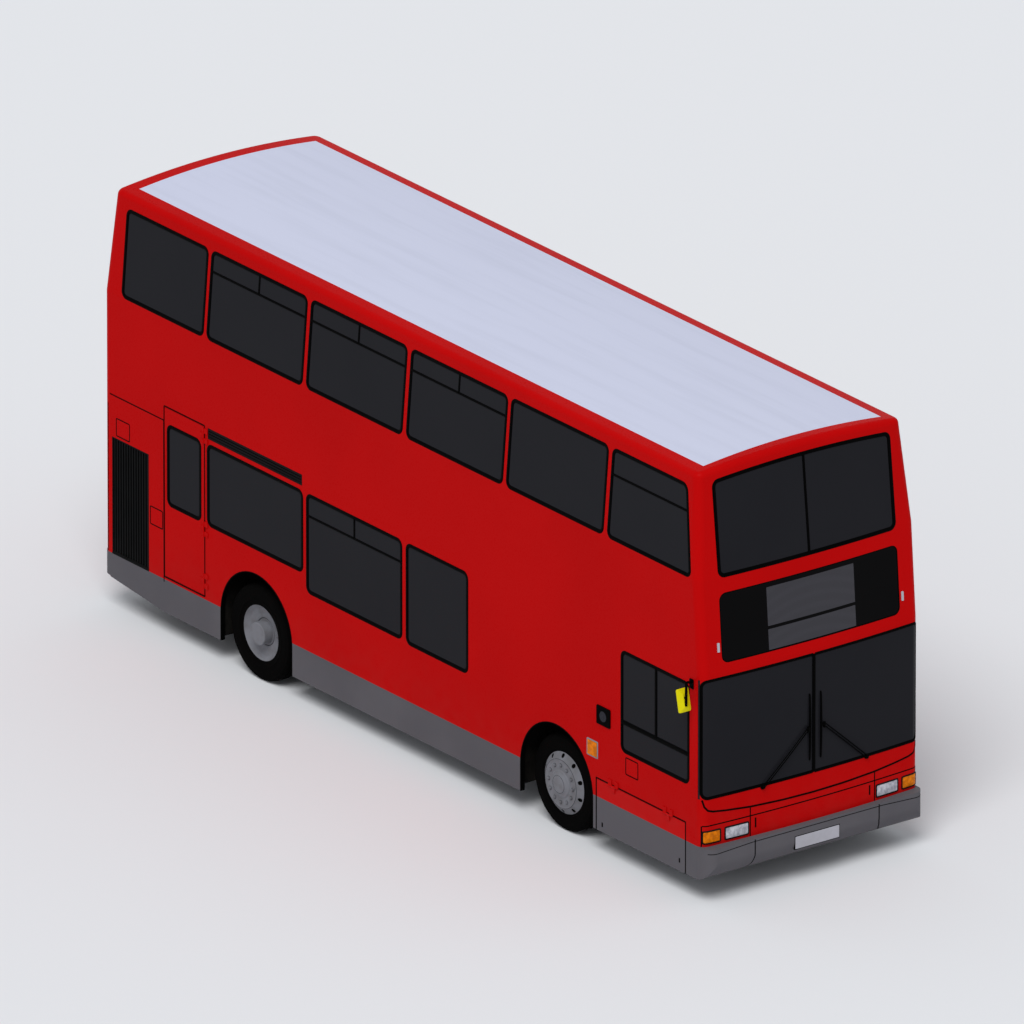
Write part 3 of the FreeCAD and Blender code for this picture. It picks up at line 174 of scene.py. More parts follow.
sun_data = bpy.data.lights.new("studio_sun", "SUN")
sun_data.energy, sun_data.angle = SUN_POWER, SUN_SPREAD
sun = bpy.data.objects.new("studio_sun", sun_data)
sun.rotation_euler = SUN_FROM.to_track_quat("Z", "Y").to_euler()
bpy.context.scene.collection.objects.link(sun)

sheet = bmesh.new()
corners = [(-1, -1), (1, -1), (1, 1), (-1, 1)]
sheet.faces.new([sheet.verts.new((x * FLOOR_REACH, y * FLOOR_REACH, 0.0)) for x, y in corners])
floor_mesh = bpy.data.meshes.new("studio_floor")
sheet.to_mesh(floor_mesh)
sheet.free()
studio_floor = bpy.data.objects.new("studio_floor", floor_mesh)
bpy.context.scene.collection.objects.link(studio_floor)
floor_paint = Recipe(bpy.data.materials.new("studio_floor"))
floor_shade = floor_paint.node(
    "ShaderNodeBsdfPrincipled", None,
    {"Base Color": SURROUND, "Roughness": 0.9, "Specular IOR Level": 0.0}
)
floor_paint.node("ShaderNodeOutputMaterial", None, {"Surface": floor_shade})
floor_mesh.materials.append(floor_paint.owner)
studio_floor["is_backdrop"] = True

# ---------------------------------------------------------------- chassis frame
# Two pressed-steel rails with welded crossmembers, sprayed with black chassis paint. Road dirt
# has dulled it from below, and rust shows through in patches.

DUST = (0.13, 0.115, 0.095, 1.0)
DUST_TOP, DUST_LOW = 1.35, 0.15


def tone(red, green, blue):
    """A paint-chart colour, 0 to 255 a channel, as the shader takes it."""
    parts = [c / 255 for c in (red, green, blue)]
    return tuple(c / 12.92 if c <= 0.04045 else ((c + 0.055) / 1.055) ** 2.4 for c in parts) + (1.0,)


def surface(recipe, base, rough, height=None, relief=0.0, shine=None, **fixed):
    """Ends a recipe: colour, roughness and relief in metres may vary, the other sockets don't."""
    sockets = {"Base Color": base, "Roughness": rough}
    if height is not None:
        bump = {"Height": height, "Distance": relief, "Strength": 1.0}
        sockets["Normal"] = recipe.node("ShaderNodeBump", None, bump)
    if shine is not None:
        sockets["Specular IOR Level"] = shine
    sockets.update({name.replace("_", " "): value for name, value in fixed.items()})
    shade = recipe.node("ShaderNodeBsdfPrincipled", None, sockets)
    recipe.node("ShaderNodeOutputMaterial", None, {"Surface": shade})
    return recipe.owner


def start(name):
    """A new recipe, and the place on the surface."""
    recipe = Recipe(bpy.data.materials.new(name))
    return recipe, recipe.node("ShaderNodeTexCoord", None, None, "Object")


def settled_dust(recipe, place, dust):
    """Road dust in patches, up to that share low down and thinning out upwards."""
    low = recipe.ease(recipe.axis(place, 2), DUST_TOP, DUST_LOW)
    return low * recipe.ease(recipe.noise(place, 7.0, 5.0), 0.2, 0.8) * dust


def coated(name, colour, second, rough, grain, relief, dust=0.0, patch=1.5, **fixed):
    """A painted, moulded or cast finish: two close colours in patches, a fine grain in the
    surface, and road dust."""
    recipe, place = start(name)
    fine = recipe.noise(place, grain)
    broad = recipe.ease(recipe.noise(place, patch, 4.0), 0.35, 0.65)
    base = recipe.mixed(broad, colour, second)
    roughness = rough + 0.08 * (fine - 0.5)
    if dust:
        settled = settled_dust(recipe, place, dust)
        base = recipe.mixed(settled, base, DUST)
        roughness = roughness + 0.35 * settled
    return surface(recipe, base, roughness, fine, relief, **fixed)


def dress(material, *names):
    """Gives CAD nodes their finish."""
    for name in names:
        for place in nodes[name].material_slots:
            place.material = material


frame_black = coated(
    "frame_black", (0.020, 0.020, 0.021, 1), (0.050, 0.030, 0.021, 1), 0.62, 90, 0.0006, 0.7, 5.0
)
dress(frame_black, "chassis_frame")

# ---------------------------------------------------------------- engine and axles
# A cast-iron engine block in grey-green enamel, stained with oil, and forged axles and knuckles
# left in black iron paint with dust on them.

engine_enamel = coated(
    "engine_enamel", (0.085, 0.105, 0.095, 1), (0.028, 0.026, 0.022, 1), 0.48, 60, 0.0012, 0.5, 4.0
)
dress(engine_enamel, "engine_block")
axle_black = coated(
    "axle_black", (0.030, 0.030, 0.031, 1), (0.060, 0.042, 0.030, 1), 0.58, 45, 0.0015, 0.7, 6.0
)
dress(axle_black, "axle_front_beam", "axle_rear_housing", "knuckle_left", "knuckle_right")


def lathe(bm, foot, axis, profile, sides, spin=0.0):
    """Turns a profile of (radius, height) points about an axis; a radius of 0 closes the end."""
    axis = Vector(axis).normalized()
    first = axis.orthogonal().normalized()
    second = axis.cross(first)
    rings = []
    for radius, height in profile:
        centre = Vector(foot) + axis * height
        if radius == 0:
            rings.append([bm.verts.new(centre)] * sides)
            continue
        turns = [2 * math.pi * k / sides + spin for k in range(sides)]
        rings.append(
            [bm.verts.new(centre + (first * math.cos(t) + second * math.sin(t)) * radius) for t in turns]
        )
    for low, high in zip(rings, rings[1:]):
        for k in range(sides):
            loop = dict.fromkeys((low[k - 1], low[k], high[k], high[k - 1]))
            if len(loop) > 2:
                bm.faces.new(list(loop))


def piece(name, bm, material, body, sharp=32):
    """Makes a mesh into a piece that rides on a body, with edges sharper than that angle kept."""
    bmesh.ops.recalc_face_normals(bm, faces=bm.faces[:])
    mesh = bpy.data.meshes.new(name)
    bm.to_mesh(mesh)
    bm.free()
    mesh.polygons.foreach_set("use_smooth", [True] * len(mesh.polygons))
    mesh.set_sharp_from_angle(angle=math.radians(sharp))
    mesh.materials.append(material)
    made = bpy.data.objects.new(name, mesh)
    bpy.context.scene.collection.objects.link(made)
    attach(made, body)
    return made


BOLTS_IN_ROW, BOLT_INSET = 9, 0.08
BOLT = [(0.017, -0.001), (0.017, 0.003), (0.011, 0.003), (0.011, 0.012), (0, 0.012)]
engine_low, engine_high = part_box("engine_block")
bolts = bmesh.new()
for along in range(BOLTS_IN_ROW):
    x = engine_low.x + (engine_high.x - engine_low.x) * (along + 0.5) / BOLTS_IN_ROW
    for side in (-1, 1):
        for z in (engine_low.z + BOLT_INSET, engine_high.z - BOLT_INSET):
            lathe(bolts, (x, side * engine_high.y, z), (0, side, 0), BOLT, 6)
piece("engine_bolts", bolts, axle_black, "bus", 20)

# ---------------------------------------------------------------- wheel boxes
# Welded steel boxes over the wheels, coated inside with thick black underseal that road spray
# has left dusty.

underseal = coated(
    "underseal", (0.0035, 0.0035, 0.0035, 1), (0.0065, 0.0060, 0.0055, 1), 0.85, 38, 0.003, 0.08, 3.0,
    shine=0.03
)
dress(underseal, "wheel_boxes")

# ---------------------------------------------------------------- floors and stairs
# Safety flooring with coloured and mineral specks. Each stair carries a ribbed yellow nosing
# along its front edge.


def join(bm, rings, closed=False):
    """Joins each ring of vertices to the next, then the last to the first or both ends shut."""
    for k in range(0 if closed else 1, len(rings)):
        for j in range(len(rings[k])):
            bm.faces.new((rings[k - 1][j - 1], rings[k - 1][j], rings[k][j], rings[k][j - 1]))
    if not closed:
        bm.faces.new(rings[0])
        bm.faces.new(rings[-1])


def sweep(bm, path, ups, section, closed=False):
    """Runs a section along a path. Its points are (across, out), and ups says which way is out."""
    count, rings = len(path), []
    for k, (point, up) in enumerate(zip(path, ups)):
        ahead = (path[(k + 1) % count] - point).normalized()
        behind = (point - path[k - 1]).normalized()
        if not closed and k == 0:
            behind = ahead
        if not closed and k == count - 1:
            ahead = behind
        along = (ahead + behind).normalized()
        across = along.cross(up).normalized()
        mitre = 1 / max(0.5, along.dot(ahead))
        rings.append([bm.verts.new(point + across * (u * mitre) + up * w) for u, w in section])
    join(bm, rings, closed)


def flooring(name, ground, dark, light):
    recipe, place = start(name)
    chips = recipe.node("ShaderNodeTexVoronoi", None, {"Vector": place, "Scale": 420.0}, "Color")
    pick = recipe.node("ShaderNodeSeparateColor", None, {0: chips})
    worn = recipe.ease(recipe.noise(place, 2.2, 4.0), 0.4, 0.7)
    base = recipe.mixed(recipe.ease(pick, 0.72, 0.76), ground, light)
    base = recipe.mixed(1 - recipe.ease(pick, 0.16, 0.20), base, dark)
    base = recipe.mixed(0.35 * worn, base, (0.05, 0.045, 0.04, 1))
    fine = recipe.noise(place, 700.0)
    return surface(recipe, base, 0.55 + 0.2 * worn, fine, 0.0004)


aisle_grey = flooring(
    "aisle_flooring", (0.085, 0.088, 0.095, 1), (0.02, 0.02, 0.024, 1), (0.30, 0.31, 0.34, 1)
)
dress(aisle_grey, "floor_lower", "floor_upper", "staircase")
step_yellow = coated(
    "step_yellow", (0.62, 0.40, 0.02, 1), (0.45, 0.30, 0.03, 1), 0.5, 240, 0.0005, patch=9.0
)

NOSING = [
    (-0.018, -0.001), (-0.018, 0.003), (-0.011, 0.0045), (-0.007, 0.003), (-0.003, 0.0045),
    (0.001, 0.003), (0.005, 0.0045), (0.010, 0.003), (0.012, -0.001)
]
NOSING_BACK, NOSING_INSET = 0.02, 0.01
TREADS = 8
UP = Vector((0, 0, 1))
stair_low, stair_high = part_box("staircase")
going = (stair_high.x - stair_low.x) / TREADS
rise = (stair_high.z - stair_low.z) / (TREADS + 1)
nosings = bmesh.new()
for n in range(TREADS):
    x, z = stair_low.x + going * n + NOSING_BACK, stair_low.z + rise * (n + 1)
    ends = [Vector((x, y, z)) for y in (stair_high.y - NOSING_INSET, stair_low.y + NOSING_INSET)]
    sweep(nosings, ends, [UP, UP], NOSING)
piece("stair_nosings", nosings, step_yellow, "bus")

# ---------------------------------------------------------------- seats
# Double seats: a moulded shell on a steel frame carries two crowned foam cushions and two backs
# in woven moquette, with a yellow grab bar over the top of each back.

SEAT_PITCH = 0.75
BENCH_IN, BENCH_OUT = 0.360, 1.195
PLATFORM, AISLE, UPPER = 0.700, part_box("floor_lower")[0].z + 0.03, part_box("floor_upper")[1].z
LOWER_ROWS = [(-3.70 + SEAT_PITCH * n, 1, PLATFORM) for n in range(3)]
LOWER_ROWS += [(-2.95, -1, PLATFORM), (-2.20, -1, PLATFORM)]
LOWER_ROWS += [(-1.50 + SEAT_PITCH * n, -1, AISLE) for n in range(3)]
LOWER_ROWS += [(-1.50, 1, AISLE), (-0.75, 1, AISLE)]
UPPER_ROWS = [(-4.30 + SEAT_PITCH * n, 1, UPPER) for n in range(11)]
UPPER_ROWS += [(-4.30 + SEAT_PITCH * n, -1, UPPER) for n in range(7)]
UPPER_ROWS += [(3.05, -1, UPPER), (3.75, -1, UPPER)]
PLACE_WIDTH, PLACE_GAP = 0.405, 0.018


def pad(bm, centre, half, turn, crown, channels):
    """A foam pad: a closed cushion, crowned on its face, its sides drawn in between the corners,
    with sewn channels across it."""
    cells = {}
    grid = (9, 9, 3)

    def corner(i, j, k):
        if (i, j, k) in cells:
            return cells[i, j, k]
        u, v, w = (2 * n / g - 1 for n, g in zip((i, j, k), grid))
        size = (abs(u) ** 5 + abs(v) ** 5 + abs(w) ** 5) ** 0.2
        a, b, c = (u / size, v / size, w / size) if size else (0, 0, 0)
        a *= 1 - 0.035 * (1 - b * b)
        b *= 1 - 0.035 * (1 - a * a)
        swell = (1 - a * a) * (1 - b * b)
        groove = sum(math.exp(-(((a - at) / 0.05) ** 2)) for at in channels)
        c *= 1 + (crown * swell - 0.10 * groove * (1 - b**8)) * (1 if c > 0 else 0)
        at = Vector((a * half[0], b * half[1], c * half[2]))
        cells[i, j, k] = bm.verts.new(turn @ at + centre)
        return cells[i, j, k]

    nx, ny, nz = grid
    for i in range(nx):
        for j in range(ny):
            for k in (0, nz):
                bm.faces.new(
                    [corner(i, j, k), corner(i + 1, j, k), corner(i + 1, j + 1, k), corner(i, j + 1, k)]
                )
    for k in range(nz):
        for i in range(nx):
            for j in (0, ny):
                bm.faces.new(
                    [corner(i, j, k), corner(i + 1, j, k), corner(i + 1, j, k + 1), corner(i, j, k + 1)]
                )
        for j in range(ny):
            for i in (0, nx):
                bm.faces.new(
                    [corner(i, j, k), corner(i, j + 1, k), corner(i, j + 1, k + 1), corner(i, j, k + 1)]
                )


def moquette(name, ground, dark, bright, accent):
    """Cut-pile wool in a small woven pattern: lozenges of two colours on a dark ground."""
    recipe, place = start(name)
    east, north, up = (recipe.axis(place, k) for k in range(3))

    def zigzag(value):
        saw = value.math("FRACT", value) - 0.5
        return saw.math("ABSOLUTE", saw)

    zig, zag = zigzag(28.0 * north + 28.0 * (east + up)), zigzag(28.0 * north - 28.0 * (east + up))
    base = recipe.mixed(recipe.ease(zig + zag, 0.42, 0.5), ground, dark)
    base = recipe.mixed(1 - recipe.ease(zig + zag, 0.10, 0.16), base, bright)
    base = recipe.mixed(recipe.ease(zig * zag, 0.19, 0.22), base, accent)
    pile = recipe.noise(place, 900.0, 3.0)
    worn = recipe.ease(recipe.noise(place, 6.0, 3.0), 0.45, 0.75)
    base = recipe.mixed(0.25 * worn, base, (0.10, 0.10, 0.12, 1))
    return surface(
        recipe, base, 0.86 + 0.1 * pile, pile, 0.0008, Sheen_Weight=0.35, Sheen_Roughness=0.5, shine=0.2
    )


seat_blue = moquette(
    "seat_moquette", (0.010, 0.022, 0.095, 1), (0.006, 0.010, 0.035, 1), (0.30, 0.035, 0.03, 1),
    (0.35, 0.26, 0.05, 1)
)
shell_grey = coated("shell_grey", (0.050, 0.052, 0.060, 1), (0.040, 0.042, 0.050, 1), 0.5, 420, 0.0003)
grab_yellow = coated(
    "grab_yellow", (0.68, 0.42, 0.015, 1), (0.60, 0.36, 0.015, 1), 0.32, 160, 0.0002, patch=8.0
)

BACK_LEAN = math.atan2(0.07, 0.61)
# Each pad of a place: x and z of its middle, half its length and thickness, turn, crown, channels
SEAT_PADS = [((0.315, 0.432), (0.205, 0.042), math.radians(-2), 0.22, (-0.35, 0.35))]
SEAT_PADS += [((0.092, 0.765), (0.285, 0.034), math.radians(90) - BACK_LEAN, 0.30, (-0.55, -0.1, 0.4))]
SHELL_FACES, SHELL_CORNER = (0.052, 0.008), 0.05
SHELL_FOOT, SHELL_SHOULDER, SHELL_TOP = 0.40, 1.0, 1.055
PAN = [(0.075, 0.375), (0.50, 0.375), (0.515, 0.392), (0.515, 0.404), (0.10, 0.404)]
LEG_X, LEG_Y = 0.27, 0.46
LEG = [(-0.035, -0.055), (0.035, -0.055), (0.045, 0.0), (0.035, 0.055), (-0.035, 0.055), (-0.045, 0.0)]
FOOT = [(0, 0), (0.095, 0), (0.095, 0.006), (0.06, 0.012), (0, 0.012)]
# A grab bar's end: x, distance in from the end, z
BAR_END = [(0.03, 0.0, 1.00), (0.022, 0.0, 1.055), (0.02, 0.03, 1.075)]


def section_round(radius, sides=8):
    """The points of a round bar's section."""
    turns = [2 * math.pi * k / sides for k in range(sides)]
    return [(radius * math.cos(t), radius * math.sin(t)) for t in turns]


def loft(bm, loops):
    """Joins each loop of points to the next and closes both ends."""
    join(bm, [[bm.verts.new(point) for point in loop] for loop in loops])


def bench(cushions, shells, bars, x, side, floor):
    """One double seat at its rear x, on a side, on a floor."""
    for place in (-1, 1):
        y = side * ((BENCH_IN + BENCH_OUT) / 2 + place * (PLACE_WIDTH + PLACE_GAP) / 2)
        for (a, b), (half_x, half_z), lean, swell, channels in SEAT_PADS:
            half = (half_x, PLACE_WIDTH / 2, half_z)
            turn = Matrix.Rotation(lean, 3, "Y")
            pad(cushions, Vector((x + a, y, floor + b)), half, turn, swell, channels)
    low, high, corner = side * BENCH_IN, side * BENCH_OUT, side * SHELL_CORNER
    back = [(low, SHELL_FOOT), (low, SHELL_SHOULDER), (low + corner, SHELL_TOP)]
    back += [(high - corner, SHELL_TOP), (high, SHELL_SHOULDER), (high, SHELL_FOOT)]
    loft(shells, [[(x + a + 0.05 * (SHELL_TOP - z), y, floor + z) for y, z in back] for a in SHELL_FACES])
    loft(shells, [[(x + a, y, floor + b) for a, b in PAN] for y in (low, high)])
    leg = [Vector((x + LEG_X, side * LEG_Y, floor + z)) for z in (0.006, 0.38)]
    sweep(shells, leg, [Vector((0, 1, 0))] * 2, LEG)
    lathe(shells, (x + LEG_X, side * LEG_Y, floor + 0.0005), (0, 0, 1), FOOT, 16)
    y0, y1 = side * (BENCH_IN + 0.05), side * (BENCH_OUT - 0.08)
    top = [Vector((x + a, y0 + side * b, floor + c)) for a, b, c in BAR_END]
    top += [Vector((x + a, y1 - side * b, floor + c)) for a, b, c in reversed(BAR_END)]
    sweep(bars, top, [Vector((1, 0, 0))] * len(top), section_round(0.0125))


shells, bars = bmesh.new(), bmesh.new()
seat_pieces = []
for deck, rows in (("lower", LOWER_ROWS), ("upper", UPPER_ROWS)):
    cushions = bmesh.new()
    for row in rows:
        bench(cushions, shells, bars, *row)
    pads = piece(f"seat_cushions_{deck}", cushions, seat_blue, "bus", 80)
    seat_pieces.append(pads)
seat_pieces.append(piece("seat_shells", shells, shell_grey, "bus"))
seat_pieces.append(piece("seat_grab_bars", bars, grab_yellow, "bus", 50))
for made in seat_pieces:
    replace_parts(made, "seats")

# ---------------------------------------------------------------- grab poles
# Steel tube sleeved in yellow plastic, held at floor and ceiling by turned flanges with three
# screws each; three of them carry a red bell push.

dress(grab_yellow, "grab_poles")
LOWER_POLES = [
    (1.330, 0.380), (-0.060, 0.380), (-0.060, -0.320), (0.930, -0.320), (1.330, -0.560), (3.140, 0.420),
    (-1.560, 0.320)
]
POLE, FLANGE = 0.017, 0.042
SCREWS, SCREW_CIRCLE = 3, 0.033
BELLS, BELL_HEIGHT = 3, 1.50
FLANGE_PROFILE = [(POLE, 0.020), (POLE + 0.006, 0.020), (POLE + 0.009, 0.008)]
FLANGE_PROFILE += [(FLANGE, 0.005), (FLANGE, 0.0005), (POLE, 0.0005)]
BELL = [(0, 0), (0.026, 0), (0.026, 0.018), (0.022, 0.024), (0.013, 0.024), (0.012, 0.030), (0, 0.032)]
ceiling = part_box("floor_upper")[0].z
bright_steel = coated(
    "bright_steel", (0.50, 0.50, 0.51, 1), (0.42, 0.42, 0.43, 1), 0.30, 300, 0.0001, Metallic=0.9
)
bell_red = coated("bell_red", (0.50, 0.012, 0.010, 1), (0.42, 0.010, 0.009, 1), 0.35, 200, 0.0001)
flanges, bells = bmesh.new(), bmesh.new()
for x, y in LOWER_POLES:
    for z, axis in ((AISLE, 1), (ceiling, -1)):
        lathe(flanges, (x, y, z), (0, 0, axis), FLANGE_PROFILE, 20)
        for k in range(SCREWS):
            turn = 2 * math.pi * k / SCREWS
            head = (x + SCREW_CIRCLE * math.cos(turn), y + SCREW_CIRCLE * math.sin(turn), z)
            lathe(flanges, head, (0, 0, axis), [(0.0045, 0.004), (0.004, 0.008), (0, 0.009)], 8)
for x, y in LOWER_POLES[:BELLS]:
    lathe(bells, (x + 0.010, y, BELL_HEIGHT), (1, 0, 0), BELL, 20)
piece("pole_flanges", flanges, bright_steel, "bus")
piece("bell_pushes", bells, bell_red, "bus")

# ---------------------------------------------------------------- driver's cab
# Moulded grey plastic round the driver: three dials in round rims, a row of knobs, a sprung seat
# in the same moquette as the saloon, and a soft-rimmed wheel on its column.

cab_grey = coated("cab_grey", (0.055, 0.057, 0.062, 1), (0.045, 0.046, 0.052, 1), 0.55, 330, 0.0005)
dress(cab_grey, "driver_cab")
wheel_black = coated("wheel_black", (0.012, 0.012, 0.013, 1), (0.020, 0.020, 0.021, 1), 0.48, 260, 0.0004)
dress(wheel_black, "steering_wheel")
dial_white = coated("dial_white", (0.55, 0.55, 0.52, 1), (0.50, 0.50, 0.47, 1), 0.4, 100, 0.0001)

DRIVER_Y = -0.80
# Each pad of the driver's seat: x and z of its middle, half sizes, lean, crown, channels
CAB_PADS = [((3.725, 1.010), (0.265, 0.270, 0.075), 0, 0.15, (-0.4, 0.3))]
CAB_PADS += [((3.465, 1.375), (0.375, 0.270, 0.068), 90, 0.12, (-0.5, 0.0, 0.5))]
CAB_PADS += [((3.455, 1.815), (0.085, 0.150, 0.050), 90, 0.15, ())]
cab_pads = bmesh.new()
for (x, z), half, lean, swell, channels in CAB_PADS:
    turn = Matrix.Rotation(math.radians(lean), 3, "Y")
    pad(cab_pads, Vector((x, DRIVER_Y, z)), half, turn, swell, channels)
driver_seat = piece("driver_seat", cab_pads, seat_blue, "bus", 80)

DASH_TOP, DASH_FRONT, DIAL = 1.000, 4.400, 0.044
BINNACLE = [(0.0, 0.0), (0.0, 0.10), (0.03, 0.135), (0.10, 0.15), (0.17, 0.11), (0.19, 0.0)]
KNOBS, KNOB = 6, [(0, 0), (0.018, 0), (0.018, 0.006), (0.013, 0.010), (0.012, 0.018), (0, 0.019)]
DIAL_RIM = [(DIAL, 0.0), (DIAL, 0.006), (DIAL + 0.004, 0.006), (DIAL + 0.007, 0.0)]
MARKS, MARK = 9, [(-0.001, -0.001), (0.001, -0.001), (0.001, 0.0005), (-0.001, 0.0005)]
BACK = Vector((-1, 0, 0))
dash, dials, needles = bmesh.new(), bmesh.new(), bmesh.new()
loft(dash, [[(DASH_FRONT - 0.02 + a, y, DASH_TOP + b) for a, b in BINNACLE] for y in (-1.06, -0.54)])
for n in range(KNOBS):
    lathe(dash, (DASH_FRONT + 0.05, -0.48 + 0.055 * n, DASH_TOP), (-0.25, 0, 1), KNOB, 12)
for y in (-0.93, -0.80, -0.67):
    spot = Vector((DASH_FRONT - 0.0195, y, DASH_TOP + 0.055))
    lathe(dash, spot, BACK, DIAL_RIM, 24)
    lathe(dials, spot, BACK, [(0, 0.0005), (DIAL, 0.0005), (DIAL, 0.002), (0, 0.002)], 24)
    for k in range(MARKS):
        turn = math.radians(-120 + 30 * k)
        out = Vector((0, math.sin(turn), math.cos(turn)))
        sweep(needles, [spot + BACK * 0.0022 + out * r for r in (0.030, 0.040)], [BACK] * 2, MARK)
    hand = [spot + BACK * 0.0030, spot + Vector((-0.0030, -0.022, -0.022))]
    sweep(needles, hand, [BACK] * 2, [(-0.0015, -0.001), (0.0015, -0.001), (0.0, 0.001)])
piece("dash_binnacle", dash, cab_grey, "bus")
piece("dash_dials", dials, dial_white, "bus")
piece("dash_marks", needles, wheel_black, "bus")

# ---------------------------------------------------------------- body panels
# Aluminium and moulded panels in red coach enamel. Thin black sealing strip fills the joints
# between panels and runs round the small locker lids, the wheel arches, the escape door and the
# side flap.

bus_red = coated("bus_red", tone(187, 9, 10), tone(182, 8, 9), 0.28, 55, 0.00012, 0.06, 0.6, shine=0.012)
BODY = ["side_lower_offside", "side_lower_nearside", "side_upper_offside", "side_upper_nearside"]
BODY += ["front_lower", "front_upper", "rear_panel"]
dress(bus_red, *BODY)
seal_black = coated(
    "seal_black", (0.0008, 0.0008, 0.0008, 1), (0.0015, 0.0015, 0.0015, 1), 0.6, 180, 0.0002, shine=0.012
)

INWARD = {"offside": Vector((0, 1, 0)), "nearside": Vector((0, -1, 0))}
INWARD |= {"front": Vector((-1, 0, 0)), "rear": Vector((1, 0, 0))}
REACH = 6.0  # farther out than any face


def shape_of(*names):
    """A tree of the CAD nodes' faces, for finding where a line meets them."""
    points, faces = [], []
    for name in names:
        first = len(points)
        points += [v.co.copy() for v in nodes[name].data.vertices]
        faces += [[first + k for k in p.vertices] for p in nodes[name].data.polygons]
    return BVHTree.FromPolygons(points, faces)


def flat(face, distance):
    """A tree of one wide flat face, for what lies behind hinges or stands off a curve."""
    inward = INWARD[face]
    beside = Vector((0, 0, 1)).cross(inward)
    corners = ((-1, -1), (1, -1), (1, 1), (-1, 1))
    points = [beside * (REACH * a) + Vector((0, 0, REACH * b)) - inward * distance for a, b in corners]
    return BVHTree.FromPolygons(points, [(0, 1, 2, 3)])


skin = shape_of(
    *BODY, "skirts", "bumpers", "side_flap", "emergency_door", "engine_cover", "roof_panel", "lamps"
)


def touch(tree, face, along, z):
    """Where the skin lies at a height and a station along that face, and which way it looks."""
    inward = INWARD[face]
    origin = Vector((along, 0, z)) if inward.y else Vector((0, along, z))
    point, normal = tree.ray_cast(origin - inward * REACH, inward)[:2]
    if point is None:
        raise ValueError(f"nothing at {face} {along:.3f} {z:.3f}")
    return point, (normal if normal.dot(inward) < 0 else -normal)


def line_on(bm, tree, face, stations, section, closed=False, step=0.06):
    """Lays a section along straight runs between (along, z) stations, bent to the skin."""
    turns = stations + stations[:1] if closed else stations
    spots = []
    for (a0, z0), (a1, z1) in zip(turns, turns[1:]):
        parts = max(1, math.ceil(math.hypot(a1 - a0, z1 - z0) / step))
        spots += [(a0 + (a1 - a0) * k / parts, z0 + (z1 - z0) * k / parts) for k in range(parts)]
    if not closed:
        spots.append(stations[-1])
    met = [touch(tree, face, a, z) for a, z in spots]
    sweep(bm, [p for p, n in met], [n for p, n in met], section, closed)


def strip(width, lift, sink=0.001):
    """The section of a strip with rounded shoulders."""
    half = width / 2
    return [
        (-half, -sink), (-half, lift * 0.6), (-half * 0.7, lift), (half * 0.7, lift), (half, lift * 0.6),
        (half, -sink)
    ]


def rounded(x0, x1, z0, z1, radius, turns=4):
    """The corners of a rectangle with rounded corners, as stations."""
    found = []
    centres = ((x1 - radius, z1 - radius), (x0 + radius, z1 - radius))
    centres += ((x0 + radius, z0 + radius), (x1 - radius, z0 + radius))
    for quarter, (cx, cz) in enumerate(centres):
        for k in range(turns + 1):
            turn = math.pi / 2 * (quarter + k / turns)
            found.append((cx + radius * math.cos(turn), cz + radius * math.sin(turn)))
    return found


HALF_WIDTH = 1.275
FRONT_AXLE, REAR_AXLE = 2.412, -2.315
ARCH_RADIUS, ARCH_TOP, ARCH_FOOT = 0.562, 1.087, 0.236
ARCH_EDGE = [
    (-0.008, -0.001), (-0.008, 0.0015), (0.003, 0.0015), (0.003, -0.046), (-0.001, -0.046),
    (-0.001, -0.001)
]
SEAM, FINE_SEAM, BROAD_SEAM = strip(0.013, 0.0016), strip(0.012, 0.0014), strip(0.018, 0.003)
SEAM_LIST = {
    "offside": [[(-4.640, 2.192), (-3.783, 2.192), (-3.783, 0.545)], [(-4.672, 2.090), (-4.672, 0.580)]],
    "nearside": [[(-4.640, 2.192), (-3.800, 2.192), (-3.800, 0.545)], [(-4.672, 2.090), (-4.672, 0.580)]],
}
LOCKER_LIDS = {
    "offside": [
        (-4.539, -4.328, 1.794, 1.970), (-3.999, -3.803, 1.071, 1.250), (3.489, 3.677, 0.939, 1.107)
    ],
    "nearside": [
        (-4.539, -3.900, 0.700, 1.250), (-4.480, -4.230, 1.620, 1.870), (-1.150, -0.800, 0.760, 1.010)
    ],
}
seams = bmesh.new()
for face, runs in SEAM_LIST.items():
    for run in runs:
        line_on(seams, skin, face, run, SEAM)
for face, lids in LOCKER_LIDS.items():
    for x0, x1, z0, z1 in lids:
        line_on(seams, skin, face, rounded(x0, x1, z0, z1, 0.012, 3), FINE_SEAM, True)
front_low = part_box("front_lower")[0].z
NOSE_SEAM = [
    (-1.260, 1.085), (-1.252, 1.040), (-1.236, 0.975), (-1.205, 0.936), (-1.150, 0.917), (-1.000, 0.898),
    (-0.730, 0.873), (-0.360, 0.857), (0.0, 0.852)
]
NOSE_SEAM += [(-y, z) for y, z in reversed(NOSE_SEAM[:-1])]
line_on(seams, skin, "front", NOSE_SEAM, BROAD_SEAM, step=0.03)
LAMP_LINE, REAR_LINE, REAR_JOINT = 0.780, 2.150, 1.150
line_on(seams, skin, "front", [(-1.252, LAMP_LINE), (1.252, LAMP_LINE)], FINE_SEAM, step=0.015)
